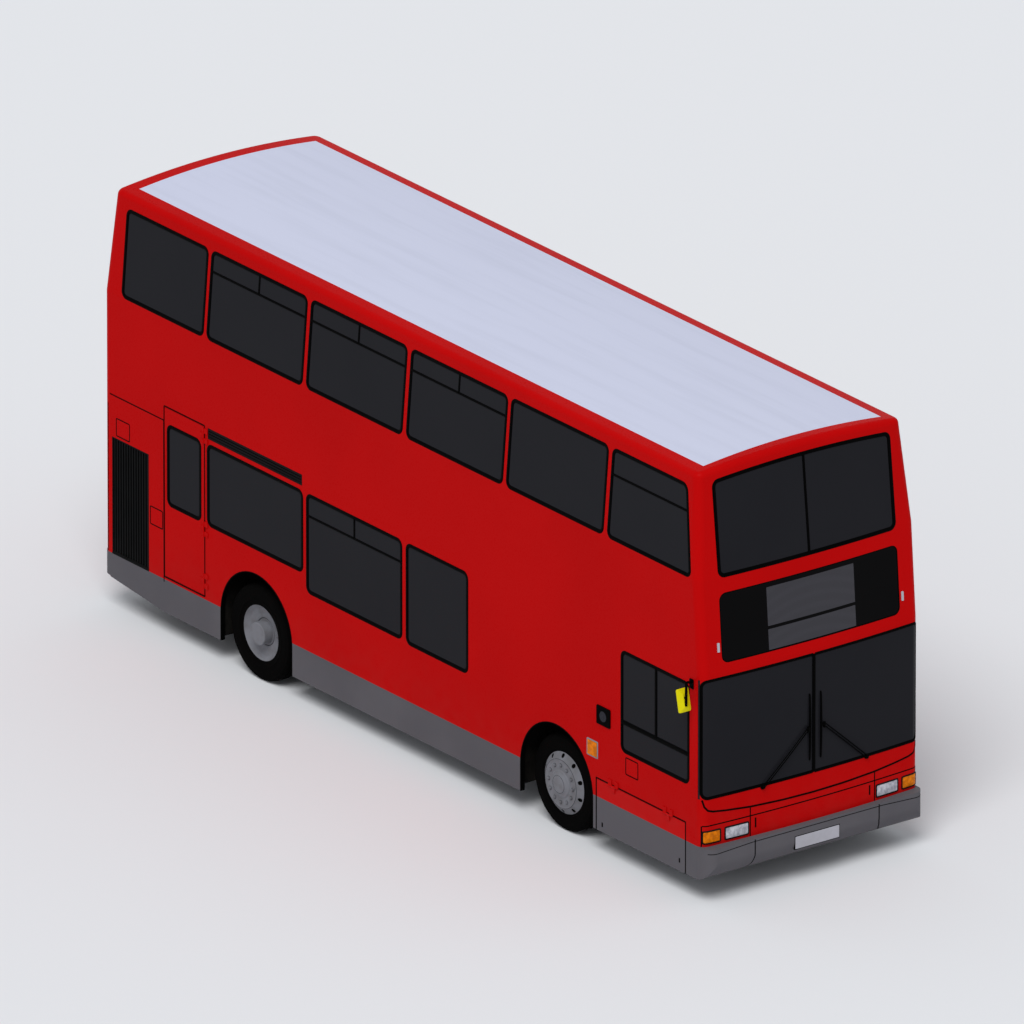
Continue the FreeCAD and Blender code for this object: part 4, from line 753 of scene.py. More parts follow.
# Upright joints on both halves of an end: face, y, top, section
END_JOINTS = [("front", 0.730, 0.862, FINE_SEAM), ("front", 1.256, LAMP_LINE, SEAM)]
END_JOINTS += [("rear", REAR_JOINT, REAR_LINE, FINE_SEAM)]
for side in (-1, 1):
    for face, y, top, section in END_JOINTS:
        line_on(seams, skin, face, [(side * y, top), (side * y, front_low + 0.004)], section)
line_on(seams, skin, "rear", [(-REAR_JOINT, REAR_LINE), (REAR_JOINT, REAR_LINE)], FINE_SEAM)
flat_side = flat("offside", HALF_WIDTH)
ESCAPE = (-3.771, -3.137, 0.605, 2.336)
FLAP = (3.035, 4.413, 0.235, 0.752)
SEAM_OUT = 0.006
x0, x1, z0, z1 = ESCAPE
around = rounded(x0 - SEAM_OUT, x1 + SEAM_OUT, z0 - SEAM_OUT, z1 + SEAM_OUT, 0.010)
line_on(seams, flat_side, "offside", around, SEAM, True, 0.5)
x0, x1, z0, z1 = FLAP
x0, x1, z1 = x0 - SEAM_OUT, x1 + SEAM_OUT, z1 + SEAM_OUT
line_on(seams, flat_side, "offside", [(x0, z0), (x0, z1), (x1, z1), (x1, z0)], SEAM, step=0.5)
piece("panel_seals", seams, seal_black, "bus")

ARCH_STEPS = 32
arches = bmesh.new()
for x in (FRONT_AXLE, REAR_AXLE):
    for side in (-1, 1):
        ring = [(x - ARCH_RADIUS, ARCH_FOOT)]
        for k in range(ARCH_STEPS + 1):
            turn = math.pi * k / ARCH_STEPS
            ring.append(
                (x - ARCH_RADIUS * math.cos(turn), ARCH_TOP - ARCH_RADIUS + ARCH_RADIUS * math.sin(turn))
            )
        ring.append((x + ARCH_RADIUS, ARCH_FOOT))
        path = [Vector((a, side * HALF_WIDTH, z)) for a, z in ring]
        section = [(-side * u, w) for u, w in ARCH_EDGE]
        sweep(arches, path, [Vector((0, side, 0))] * len(path), section)
piece("arch_edgings", arches, seal_black, "bus")

LATCH_Y, LATCH_LOW, LATCH_HIGH = 0.670, 0.652, 0.748
slots = bmesh.new()
for side in (-1, 1):
    latch = [(side * LATCH_Y, z) for z in (LATCH_LOW, LATCH_HIGH)]
    line_on(slots, skin, "front", latch, strip(0.016, 0.003))
piece("front_panel_latches", slots, seal_black, "bus")

# The cab air intake, a black square moulding with a round cap in it.
INTAKE = (3.042, 3.254, 1.315, 1.505)


def spread(low, high, radius, step):
    """Stations across a lid: close together round its corners and even between."""
    ease = [0.0, 0.15, 0.4, 0.7, 1.0]
    inner_low, inner_high = low + radius, high - radius
    parts = max(1, math.ceil((inner_high - inner_low) / step))
    middle = [inner_low + (inner_high - inner_low) * k / parts for k in range(1, parts)]
    return [low + radius * e for e in ease] + middle + [high - radius * e for e in reversed(ease)]


def lid_on(bm, tree, face, area, radius, lift, step=0.08, relief=None):
    """A raised lid or lens bent to the skin, with rounded corners and edges. relief adds height
    over the lid as a function of its place, 0 to 1 each way."""
    a0, a1, z0, z1 = area
    stations, heights = spread(a0, a1, radius, step), spread(z0, z1, radius, step)
    centre_a, centre_z, half_a, half_z = (a0 + a1) / 2, (z0 + z1) / 2, (a1 - a0) / 2, (z1 - z0) / 2
    last_i, last_j = len(stations) - 1, len(heights) - 1
    top, foot = {}, {}
    for i, a in enumerate(stations):
        for j, z in enumerate(heights):
            u, v = a - centre_a, z - centre_z
            p, q = (abs(u) - half_a + radius) / radius, (abs(v) - half_z + radius) / radius
            if p > 0 and q > 0:
                p, q = p * math.sqrt(1 - q * q / 2), q * math.sqrt(1 - p * p / 2)
                u = math.copysign(half_a - radius + p * radius, u)
                v = math.copysign(half_z - radius + q * radius, v)
            point, out = touch(tree, face, centre_a + u, centre_z + v)
            edge = i in (0, last_i) or j in (0, last_j)
            height = lift * 0.55 if edge else lift
            if relief and not edge:
                height += relief((a - a0) / (a1 - a0), (z - z0) / (z1 - z0))
            top[i, j] = bm.verts.new(point + out * height)
            if edge:
                foot[i, j] = bm.verts.new(point - out * 0.001)
    for i in range(last_i):
        for j in range(last_j):
            bm.faces.new((top[i, j], top[i + 1, j], top[i + 1, j + 1], top[i, j + 1]))
    ring = [(i, 0) for i in range(last_i)] + [(last_i, j) for j in range(last_j)]
    ring += [(i, last_j) for i in range(last_i, 0, -1)] + [(0, j) for j in range(last_j, 0, -1)]
    for k in range(len(ring)):
        bm.faces.new((top[ring[k - 1]], top[ring[k]], foot[ring[k]], foot[ring[k - 1]]))
    bm.faces.new([foot[at] for at in ring])


intake = bmesh.new()
lid_on(intake, skin, "offside", INTAKE, 0.016, 0.012)
x0, x1, z0, z1 = INTAKE
spot, out = touch(skin, "offside", (x0 + x1) / 2, (z0 + z1) / 2)
piece("cab_intake", intake, seal_black, "bus")
cap = bmesh.new()
lathe(
    cap, spot, out,
    [
        (0.052, 0.010), (0.052, 0.014), (0.049, 0.016), (0.043, 0.016), (0.040, 0.0135), (0.018, 0.0135),
        (0.014, 0.0165), (0, 0.017)
    ],
    32
)
cap_grey = coated("cap_grey", tone(50, 50, 57), tone(42, 42, 48), 0.5, 200, 0.0002, shine=0.04)
piece("cab_intake_cap", cap, cap_grey, "bus")

# ---------------------------------------------------------------- skirts and bumpers
# Grey satin enamel along the bottom of the body, dusty low down, with moulded bumpers of the same
# colour. The plates at the front and rear are blank.

skirt_grey = coated(
    "skirt_grey", tone(93, 91, 96), tone(88, 86, 91), 0.50, 70, 0.0003, 0.10, 1.2, shine=0.04
)
dress(skirt_grey, "skirts", "bumpers", "side_flap")
plate_white = coated(
    "plate_white", tone(178, 177, 186), tone(172, 171, 180), 0.35, 140, 0.0001, 0.2, shine=0.25
)

bumper_low, bumper_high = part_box("bumpers")
bumper_seams = bmesh.new()
BUMPER_JOINT = [(0.728, 0.565), (0.728, 0.400), (0.745, 0.320), (0.775, 0.275)]
for side in (-1, 1):
    line_on(bumper_seams, skin, "front", [(side * y, z) for y, z in BUMPER_JOINT], FINE_SEAM, step=0.02)
    line_on(bumper_seams, skin, "rear", [(side * 0.900, 0.565), (side * 0.900, 0.350)], FINE_SEAM)
BUMPER_LINE = [(1.250, 0.524), (1.190, 0.524), (0.765, 0.5455)]
line_on(
    bumper_seams, skin, "front", [(-y, z) for y, z in BUMPER_LINE] + BUMPER_LINE[::-1],
    strip(0.007, 0.0012), step=0.015
)
PLATES = [("front", bumper_high.x + 0.001, 0.352, 0.474), ("rear", -bumper_low.x + 0.001, 0.385, 0.505)]
PLATE_HALF, PLATE_RIM = 0.257, 0.007
plates = bmesh.new()
for face, distance, z0, z1 in PLATES:
    outward = -INWARD[face].x
    low_z, high_z, half = z0 - PLATE_RIM, z1 + PLATE_RIM, PLATE_HALF + PLATE_RIM
    holder = [(distance - 0.045, low_z), (distance, low_z), (distance, high_z), (distance - 0.045, high_z)]
    loft(bumper_seams, [[(outward * x, y, z) for x, z in holder] for y in (-half, half)])
    lid_on(plates, flat(face, distance), face, (-PLATE_HALF, PLATE_HALF, z0, z1), 0.006, 0.003)
piece("bumper_seals", bumper_seams, seal_black, "bus")
piece("blank_plates", plates, plate_white, "bus")

# ---------------------------------------------------------------- roof
# One skin of pale satin enamel. Rain has left a little dirt along it.

roof_recipe, place = start("roof_pale")
streak_place = roof_recipe.node("ShaderNodeMapping", None, {"Vector": place, "Scale": (0.35, 5.0, 1.0)})
streaks = roof_recipe.ease(roof_recipe.noise(streak_place, 1.4, 5.0), 0.42, 0.75)
fine = roof_recipe.noise(place, 60.0)
pale = roof_recipe.mixed(0.30 * streaks, tone(202, 206, 226), tone(186, 190, 208))
roof_pale = surface(roof_recipe, pale, 0.55 + 0.12 * streaks, fine, 0.0003, shine=0.2)
dress(roof_pale, "roof_panel")

# ---------------------------------------------------------------- glazing
# Opaque glass, near black: partly its tint and partly painted shade of the dim saloon behind
# it. It is held in black rubber, with thin black bars where a pane has a hinged or sliding top.
# The rubber laps the panel outside and the glass inside, and thin red plates round off the
# windscreen's corners.

Pane = namedtuple("Pane", "side points normals low high")


def glazed(name, first, second, scale, detail, rough, vary, **fixed):
    """Glass or a mirror: two close tones in soft clouds, which change its polish a little."""
    recipe, place = start(name)
    haze = recipe.noise(place, scale, detail)
    return surface(recipe, recipe.mixed(haze, first, second), rough + vary * haze, **fixed)


# Near-black opaque glass: its tint, and painted shade of the saloon that would be seen through it.
glass_tint_and_painted_shade = glazed(
    "glass_tint_and_painted_shade", (0.0112, 0.0112, 0.0142, 1), (0.0150, 0.0150, 0.0178, 1), 0.8, 3.0, 0.10, 0.05,
    shine=0.04
)
PANES = ["windows", "windscreen", "emergency_glass"]
PANES += [f"{door}_glass_{leaf}" for door in ("entrance", "exit") for leaf in ("front", "rear")]
dress(glass_tint_and_painted_shade, *PANES)


def panes(node):
    """Each pane of a node: the face it is in, its edge as points, the way out at each, and its box."""
    bm = bmesh.new()
    bm.from_mesh(nodes[node].data)
    bmesh.ops.remove_doubles(bm, verts=bm.verts, dist=1e-5)
    bm.normal_update()
    unseen, found = set(bm.faces), []
    while unseen:
        wave = [unseen.pop()]
        island = set(wave)
        while wave:
            for edge in wave.pop().edges:
                for face in edge.link_faces:
                    if face in unseen:
                        unseen.discard(face)
                        island.add(face)
                        wave.append(face)
        points = [v.co for face in island for v in face.verts]
        low = Vector(min(p[k] for p in points) for k in range(3))
        high = Vector(max(p[k] for p in points) for k in range(3))
        if high.y - low.y < 0.12:
            side = "offside" if low.y < 0 else "nearside"
        else:
            side = "front" if low.x > 0 else "rear"
        outer = {f for f in island if f.normal.dot(INWARD[side]) < -0.5}
        rim = [e for f in outer for e in f.edges if sum(g in outer for g in e.link_faces) == 1]
        after = {}
        for edge in rim:
            for one, other in (edge.verts, reversed(edge.verts)):
                after.setdefault(one, []).append(other)
        loops, left = [], set(after)
        while left:
            first = left.pop()
            loop, here, last = [first], after[first][0], first
            while here is not first:
                loop.append(here)
                left.discard(here)
                here, last = next(v for v in after[here] if v is not last), here
            loops.append(loop)
        loop = max(loops, key=len)
        normals = []
        for vert in loop:
            out = sum((face.normal for face in vert.link_faces if face in outer), Vector())
            normals.append(out.normalized())
        points = [v.co.copy() for v in loop]
        across = (points[1] - points[0]).cross(normals[0])
        if across.dot(points[0] - (low + high) / 2) < 0:
            points.reverse()
            normals.reverse()
        found.append(Pane(side, points, normals, low, high))
    bm.free()
    return sorted(found, key=lambda pane: pane.low.x)


RUBBER = [
    (-0.036, -0.001), (-0.035, 0.0025), (-0.030, 0.0060), (-0.006, 0.0075), (0.001, 0.0065),
    (0.005, 0.0035), (0.004, 0.0005)
]
FLUSH_RUBBER = [(-0.011, -0.001), (-0.010, 0.0020), (0.000, 0.0035), (0.010, 0.0020), (0.011, -0.001)]
rubber_black = coated(
    "rubber_black", (0.0008, 0.0008, 0.0008, 1), (0.0014, 0.0014, 0.0014, 1), 0.5, 220, 0.0002,
    shine=0.012
)
SCREEN_RUBBER = [
    (-0.026, -0.001), (-0.025, 0.0035), (-0.018, 0.0070), (-0.005, 0.0080), (0.002, 0.0070),
    (0.005, 0.0040), (0.004, 0.0005)
]
SCREEN_ROUND, ROUND_STEPS, FILL_LIFT = 0.075, 8, 0.004


def screen_edge(points, normals, level):
    """The screen's level edge from its outer end to the middle: distance along, point, way out."""
    level_rows = [(p, n) for p, n in zip(points, normals) if abs(p.z - level) < 0.004]
    rows = sorted(level_rows, key=lambda row: row[0].x)
    outermost = min(range(len(points)), key=lambda k: points[k].x)
    rows.insert(0, (Vector((points[outermost].x, points[outermost].y, level)), normals[outermost]))
    edge, along = [], 0.0
    for k, (point, out) in enumerate(rows):
        along += (point - rows[k - 1][0]).length if k else 0.0
        edge.append((along, point, Vector((out.x, out.y, 0)).normalized()))
    return edge


def on_screen(edge, fall, along, away):
    """A point of the upright screen, so far along its level edge and so far above or below it."""
    for (s0, p0, n0), (s1, p1, n1) in zip(edge, edge[1:]):
        if along <= s1 and s1 > s0:
            share = (along - s0) / (s1 - s0)
            return p0.lerp(p1, share) + Vector((0, 0, fall * away)), n0.lerp(n1, share).normalized()


def corner_fill(bm, edge, fall, arc):
    """The red corner of the body outside the screen's rounded corner, as a thin closed plate."""
    border = [(a, 0.0005) if b < a else (0.0, b) for a, b in arc]
    turn = next(n for n, (a, b) in enumerate(arc) if b >= a)
    border.insert(turn, (0.0, 0.0005))
    arc = arc[:turn] + [arc[turn]] + arc[turn:]
    loops = []
    for pair in zip(border, arc):
        met = [on_screen(edge, fall, *spot) for spot in pair]
        top, under = ([point + out * lift for point, out in met] for lift in (FILL_LIFT, -0.001))
        loops.append(top + under[::-1])
    loft(bm, loops)
    bmesh.ops.remove_doubles(bm, verts=bm.verts, dist=1e-5)


fills = bmesh.new()
BENDS = [math.pi / 2 * n / ROUND_STEPS for n in range(ROUND_STEPS + 1)]
ARC = [(SCREEN_ROUND * (1 - math.sin(t)), SCREEN_ROUND * (1 - math.cos(t))) for t in BENDS]
carried = frame["record"]["behaviour"]["bodies"].items()
BODIES = {name: body for body, names in carried for name in names}
for node in PANES:
    gasket = bmesh.new()
    for pane in panes(node):
        if node != "windscreen":
            sweep(gasket, pane.points, pane.normals, RUBBER, True)
            continue
        path = []
        for level, fall in ((pane.high.z, -1), (pane.low.z, 1)):
            edge = screen_edge(pane.points, pane.normals, level)
            run = [(point, out) for along, point, out in reversed(edge) if along > SCREEN_ROUND + 0.002]
            part = run + [on_screen(edge, fall, *spot) for spot in ARC]
            path += part if fall == -1 else part[::-1]
            corner_fill(fills, edge, fall, ARC)
        ahead = path[1][0] - path[0][0]
        if ahead.cross(path[0][1]).dot(path[0][0] - (pane.low + pane.high) / 2) < 0:
            path.reverse()
        sweep(gasket, [point for point, out in path], [out for point, out in path], SCREEN_RUBBER)
    piece(f"rubber_{node}", gasket, rubber_black, BODIES[node], 60)
piece("screen_corners", fills, bus_red, "bus")

HOPPER_DROP, LOWER_DROP, END_DROP, BAR_INSET = 0.210, 0.228, 0.260, 0.01
UPPER_DROPS = {1: HOPPER_DROP, 2: HOPPER_DROP, 3: HOPPER_DROP, 5: END_DROP}
DECK_SPLIT, LOW_SILL, WIDE_PANE = 3.0, 1.25, 1.49
RAKE = 0.16  # how far the foremost upper pane's front edge leans back for each unit of height
glass_shape = shape_of("windows", "windscreen")
window_bars = bmesh.new()
window_list = panes("windows")


def bar(face, foot, head, width=0.022, lift=0.007, tree=glass_shape):
    line_on(window_bars, tree, face, [foot, head], strip(width, lift))


for face in ("offside", "nearside"):
    upper = [pane for pane in window_list if pane.side == face and pane.low.z > DECK_SPLIT]
    for n, pane in enumerate(upper):
        drop = UPPER_DROPS.get(n)
        if drop:
            line = pane.high.z - drop
            end = pane.high.x - BAR_INSET - (RAKE * (line - pane.low.z) if n == 5 else 0.0)
            bar(face, (pane.low.x + BAR_INSET, line), (end, line))
        if drop == HOPPER_DROP:
            middle = (pane.low.x + pane.high.x) / 2
            bar(face, (middle, line), (middle, pane.high.z - BAR_INSET))
    for pane in window_list:
        if pane.side == face and pane.low.z < LOW_SILL and pane.high.x - pane.low.x > WIDE_PANE:
            line, middle = pane.high.z - LOWER_DROP, (pane.low.x + pane.high.x) / 2
            bar(face, (pane.low.x + BAR_INSET, line), (pane.high.x - BAR_INSET, line))
            bar(face, (middle, line), (middle, pane.high.z - BAR_INSET))
lower = [pane for pane in window_list if pane.side == "offside" and pane.low.z < DECK_SPLIT]
pane = max(lower, key=lambda lower_pane: lower_pane.low.x)
line, middle = pane.low.z + 0.303, (pane.low.x + pane.high.x) / 2 + 0.012
bar("offside", (pane.low.x + BAR_INSET, line), (pane.high.x - BAR_INSET, line), 0.044, 0.008)
bar("offside", (middle, line), (middle, pane.high.z - BAR_INSET), 0.034, 0.008)
pane = next(pane for pane in window_list if pane.side == "front")
bar("front", (0.0, pane.low.z + BAR_INSET), (0.0, pane.high.z - 0.012), 0.026)
screen_low, screen_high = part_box("windscreen")
screen_skin = shape_of("windscreen", "front_upper")
bar("front", (0.0, screen_low.z + 0.006), (0.0, screen_high.z - 0.004), 0.034, 0.006, screen_skin)
piece("window_bars", window_bars, rubber_black, "bus")

# ---------------------------------------------------------------- destination sign
# A black glass panel edged in rubber, with a blank display in two parts on its face.

sign_black = glazed(
    "sign_black", (0.0028, 0.0026, 0.0028, 1), (0.0042, 0.0040, 0.0042, 1), 1.0, 3.0, 0.12, 0.05,
    shine=0.02
)
dress(sign_black, "destination_sign")
display_recipe, place = start("display_grey")
dots = display_recipe.node(
    "ShaderNodeTexVoronoi", None, {"Vector": place, "Scale": 110.0, "Randomness": 0.0}
)
lit = display_recipe.ease(dots, 0.25, 0.35)
blank = display_recipe.mixed(lit, tone(64, 63, 69), tone(56, 55, 60))
display = surface(display_recipe, blank, 0.35 + 0.1 * lit, dots, 0.0002, shine=0.15)
sign_low, sign_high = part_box("destination_sign")
sign_shape = shape_of("destination_sign")
DISPLAY_HALF, DISPLAY_SPLIT, SPLIT_GAP = 0.510, 2.615, 0.016
DISPLAYS = [(DISPLAY_SPLIT + SPLIT_GAP, sign_high.z - 0.055)]
DISPLAYS += [(sign_low.z + 0.016, DISPLAY_SPLIT - SPLIT_GAP)]
screens = bmesh.new()
for z0, z1 in DISPLAYS:
    lid_on(screens, sign_shape, "front", (-DISPLAY_HALF, DISPLAY_HALF, z0, z1), 0.006, 0.0015)
piece("blank_display", screens, display, "bus")
sign_seal = bmesh.new()
for pane in panes("destination_sign"):
    if pane.side == "front":
        sweep(sign_seal, pane.points, pane.normals, FLUSH_RUBBER, True)
piece("sign_seal", sign_seal, rubber_black, "bus", 60)

# ---------------------------------------------------------------- lamps
# Clear ribbed headlamps and orange indicators in black housings at the front, stacked lamps at
# the rear, repeaters on the sides and small pale marker lamps beside the sign.

lamp_black = coated(
    "lamp_black", (0.0030, 0.0030, 0.0032, 1), (0.0050, 0.0050, 0.0052, 1), 0.40, 200, 0.0002, shine=0.06
)
dress(lamp_black, "lamps")


def lens(name, deep, bright, ribs):
    """Moulded lens plastic: two tones in soft random cells, with the ribs as relief."""
    recipe, place = start(name)
    swing = (recipe.axis(place, 1) + recipe.axis(place, 0)) * (2 * math.pi * ribs)
    wave = swing.math("SINE", swing)
    cells = recipe.noise(place, 22.0, 3.0)
    base = recipe.mixed(recipe.ease(cells, 0.30, 0.70), deep, bright)
    return surface(recipe, base, 0.16 + 0.10 * cells, wave, 0.0005, shine=0.05)


lens_orange = lens("lens_orange", tone(186, 98, 8), tone(232, 126, 10), 55.0)
lens_clear = lens("lens_clear", tone(150, 150, 160), tone(200, 200, 208), 70.0)
lens_red = lens("lens_red", (0.28, 0.006, 0.005, 1), (0.50, 0.016, 0.012, 1), 55.0)
lamp_shape = shape_of("lamps", "front_lower", "rear_panel", "side_flap", "skirts")
BEZEL = strip(0.014, 0.007)
# Lamps on one half of an end: y and z spans
HEAD, TURN = (0.744, 1.020, 0.600, 0.730), (1.060, 1.256, 0.600, 0.730)
REAR_LAMPS = [((0.995, 1.130, 1.620, 1.815), "orange"), ((0.995, 1.130, 1.395, 1.600), "red")]
REAR_LAMPS += [((0.995, 1.130, 1.165, 1.375), "red")]
MARKER, REAR_MARKER = (1.066, 1.092, 2.500, 2.592), (1.000, 1.060, 4.070, 4.115)
REPEATER = (2.886, 3.058, 0.949, 1.121)


def on_side(side, y0, y1, z0, z1):
    """A lamp's area on the right or the left half of an end."""
    return (*sorted((side * y0, side * y1)), z0, z1)


def inset(area, across, up):
    """An area drawn in at its sides and at its top and foot."""
    x0, x1, z0, z1 = area
    return x0 + across, x1 - across, z0 + up, z1 - up


def dome(rise):
    """Relief of a lens that swells towards its middle."""
    return lambda u, v: rise * (1 - (2 * u - 1) ** 2) * (1 - (2 * v - 1) ** 2)


lenses = {"orange": bmesh.new(), "clear": bmesh.new(), "red": bmesh.new()}
bezels, frames, markers = bmesh.new(), bmesh.new(), bmesh.new()
for side in (-1, 1):
    for span, colour in ((HEAD, "clear"), (TURN, "orange")):
        area = on_side(side, *span)
        lens_area = inset(area, 0.012, 0.010)
        lid_on(lenses[colour], lamp_shape, "front", lens_area, 0.014, 0.004, 0.03, dome(0.006))
        line_on(bezels, lamp_shape, "front", rounded(*inset(area, 0.006, 0.004), 0.016), BEZEL, True, 0.03)
    for span, colour in REAR_LAMPS:
        area = on_side(side, *span)
        lid_on(lenses[colour], lamp_shape, "rear", area, 0.020, 0.005, 0.03, dome(0.008))
    lid_on(markers, skin, "front", on_side(side, *MARKER), 0.006, 0.008, 0.03)
    lid_on(lenses["red"], skin, "rear", on_side(side, *REAR_MARKER), 0.010, 0.010, 0.03)
for face in ("offside", "nearside"):
    lens_area = inset(REPEATER, 0.013, 0.013)
    lid_on(lenses["orange"], skin, face, lens_area, 0.006, 0.008, 0.05, dome(0.005))
    line_on(frames, skin, face, rounded(*inset(REPEATER, 0.006, 0.006), 0.005), strip(0.012, 0.006), True)
for colour, material in (("orange", lens_orange), ("clear", lens_clear), ("red", lens_red)):
    piece(f"lenses_{colour}", lenses[colour], material, "bus", 40)
piece("lamp_bezels", bezels, lamp_black, "bus", 50)
frame_grey = coated("frame_grey", tone(134, 136, 144), tone(124, 126, 134), 0.4, 140, 0.0001, shine=0.06)
piece("repeater_frames", frames, frame_grey, "bus", 50)
piece("marker_lamps", markers, plate_white, "bus", 50)

# ---------------------------------------------------------------- grilles
# Black moulded grilles over the radiator and the saloon air vent: upright slats at the rear and
# level louvres above the window.

grille_black = coated(
    "grille_black", (0.0046, 0.0048, 0.0050, 1), (0.0034, 0.0036, 0.0038, 1), 0.55, 260, 0.0003, 0.02,
    3.0, shine=0.03
)
dress(grille_black, "grilles")
foot = bmesh.new()
line_on(foot, skin, "offside", [(-4.608, 0.578), (-4.024, 0.578)], strip(0.016, 0.003))
piece("grille_foot", foot, grille_black, "bus")
VENT, VENT_SLATS = (-3.082, -1.586, 2.223, 2.336), 4
vent_grey = coated("vent_grey", tone(25, 23, 24), tone(21, 19, 20), 0.55, 260, 0.0003, shine=0.03)
slats = bmesh.new()
x0, x1, z0, z1 = VENT
for side in (-1, 1):
    y = side * (HALF_WIDTH - 0.0015)
    for n in range(VENT_SLATS):
        low_z = z0 + (z1 - z0) * (n + 0.24) / VENT_SLATS
        high_z = z0 + (z1 - z0) * (n + 0.76) / VENT_SLATS
        section = [(low_z, 0.0035), (high_z, 0.0005), (high_z, -0.0060), (low_z, -0.0060)]
        loft(slats, [[(x, y + side * w, z) for z, w in section] for x in (x0 + 0.004, x1 - 0.004)])
piece("vent_slats", slats, vent_grey, "bus")

# ---------------------------------------------------------------- mirrors
# A yellow hipped shell ahead of each glass, hung on a black tube arm that drops from a plate
# beside the windscreen.

dress(rubber_black, "mirrors")
mirror_low, mirror_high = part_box("mirrors")
HEAD_IN, HEAD_OUT, HEAD_LOW, HEAD_HIGH = 1.310, mirror_high.y, mirror_low.z, 2.155
HEAD_BACK, HEAD_RIM, HEAD_RIDGE = 4.490, 4.506, 4.534
HEAD_HALF_Y, HEAD_HALF_Z = 0.92 * (HEAD_OUT - HEAD_IN) / 2, 0.95 * (HEAD_HIGH - HEAD_LOW) / 2
HEAD_MIDDLE, HEAD_AHEAD, HEAD_ABOVE = (HEAD_BACK + HEAD_RIDGE) / 2, 0.028, 0.018
HEAD_TILT = Matrix.Rotation(math.radians(-12), 3, "Y")
# Each layer of the shell, from the glass forwards: x, distance past the half sizes, corner radius
HEAD_LAYERS = [(HEAD_BACK + 0.002, -0.010, 0.014), (HEAD_BACK, -0.004, 0.014)]
HEAD_LAYERS += [(HEAD_BACK + 0.004, 0.0, 0.016), (HEAD_RIM, 0.0, 0.016), (HEAD_RIM + 0.006, -0.004, 0.016)]
HEAD_LAYERS += [(HEAD_RIDGE - 0.004, -0.044, 0.010), (HEAD_RIDGE, -0.050, 0.008)]
GLASS_LAYERS = [(HEAD_BACK + 0.0005, -0.011, 0.012), (HEAD_BACK + 0.0045, -0.011, 0.012)]
# Mirrors: side, and how far each stands ahead of and above the offside one
MIRRORS = [("offside", 0.0, 0.0), ("nearside", -0.250, 0.345)]
ARM_ROUTE = [(4.512, 1.268, 2.196), (4.520, 1.300, 2.206), (4.564, 1.372, 2.236), (4.574, 1.387, 2.234)]
ARM_ROUTE += [(4.575, 1.389, 2.216), (4.575, 1.389, 2.130), (4.575, 1.389, 2.012)]
ARM_RADIUS, ARM_SIDES = 0.013, 10
ARM_CAP = [(0, 0), (ARM_RADIUS, 0), (ARM_RADIUS, 0.010), (0, 0.014)]
CLAMP_X, CLAMP_Y, CLAMPS = 4.556, 1.389, (2.085, 2.035)
CLAMP = [(-0.010, -0.006), (0.010, -0.006), (0.010, 0.014), (-0.010, 0.014)]
ARM_PLATE = (4.482, 4.543, 2.136, 2.232)
PLATE_SCREWS, PLATE_SCREW = (2.150, 2.218), [(0.008, -0.001), (0.008, 0.004), (0.004, 0.006), (0, 0.006)]
mirror_yellow = coated(
    "mirror_yellow", tone(226, 216, 10), tone(216, 206, 8), 0.40, 120, 0.0002, shine=0.08
)
mirror_silver = glazed(
    "mirror_silver", (0.72, 0.74, 0.76, 1), (0.66, 0.68, 0.70, 1), 14.0, 4.0, 0.03, 0.06, Metallic=1.0
)


def head_loop(at, x, past, radius):
    """One outline of a mirror's head, which tilts to look down along the bus."""
    half_y, half_z = HEAD_HALF_Y + past, HEAD_HALF_Z + past
    middle = at + Vector((HEAD_MIDDLE + HEAD_AHEAD, 0, HEAD_ABOVE))
    corners = rounded(-half_y, half_y, -half_z, half_z, radius, 3)
    return [middle + HEAD_TILT @ Vector((x - HEAD_MIDDLE, a, b)) for a, b in corners]


heads, glasses, arms = bmesh.new(), bmesh.new(), bmesh.new()
for face, ahead, above in MIRRORS:
    side = -INWARD[face].y
    at = Vector((ahead, side * (HEAD_IN + HEAD_OUT) / 2, above + (HEAD_LOW + HEAD_HIGH) / 2))
    loft(heads, [head_loop(at, *layer) for layer in HEAD_LAYERS])
    loft(glasses, [head_loop(at, *layer) for layer in GLASS_LAYERS])
    path = [Vector((x + ahead, side * y, z + above)) for x, y, z in ARM_ROUTE]
    sweep(arms, path, [Vector((1, 0, 0))] * len(path), section_round(ARM_RADIUS, ARM_SIDES))
    lathe(arms, path[-1] + Vector((0, 0, 0.004)), (0, 0, -1), ARM_CAP, ARM_SIDES)
    for z in CLAMPS:
        clamp = [Vector((CLAMP_X + ahead, side * CLAMP_Y, z + above + dz)) for dz in (-0.010, 0.010)]
        sweep(arms, clamp, [Vector((1, 0, 0))] * 2, CLAMP)
    x0, x1, z0, z1 = ARM_PLATE
    lid_on(arms, skin, face, (x0 + ahead, x1 + ahead, z0 + above, z1 + above), 0.008, 0.010, 0.03)
    for z in PLATE_SCREWS:
        spot, out = touch(skin, face, ARM_ROUTE[0][0] + ahead, z + above)
        lathe(arms, spot + out * 0.010, out, PLATE_SCREW, 6)
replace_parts(piece("mirror_arms", arms, rubber_black, "bus"), "mirrors")
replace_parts(piece("mirror_shells", heads, mirror_yellow, "bus", 18), "mirrors")
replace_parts(piece("mirror_glasses", glasses, mirror_silver, "bus"), "mirrors")

# ---------------------------------------------------------------- wipers
# Two twin-rod arms reach from spindles at the foot of the screen to the middle, each carrying an
# upright blade of black-painted steel with a rubber lip on the glass.

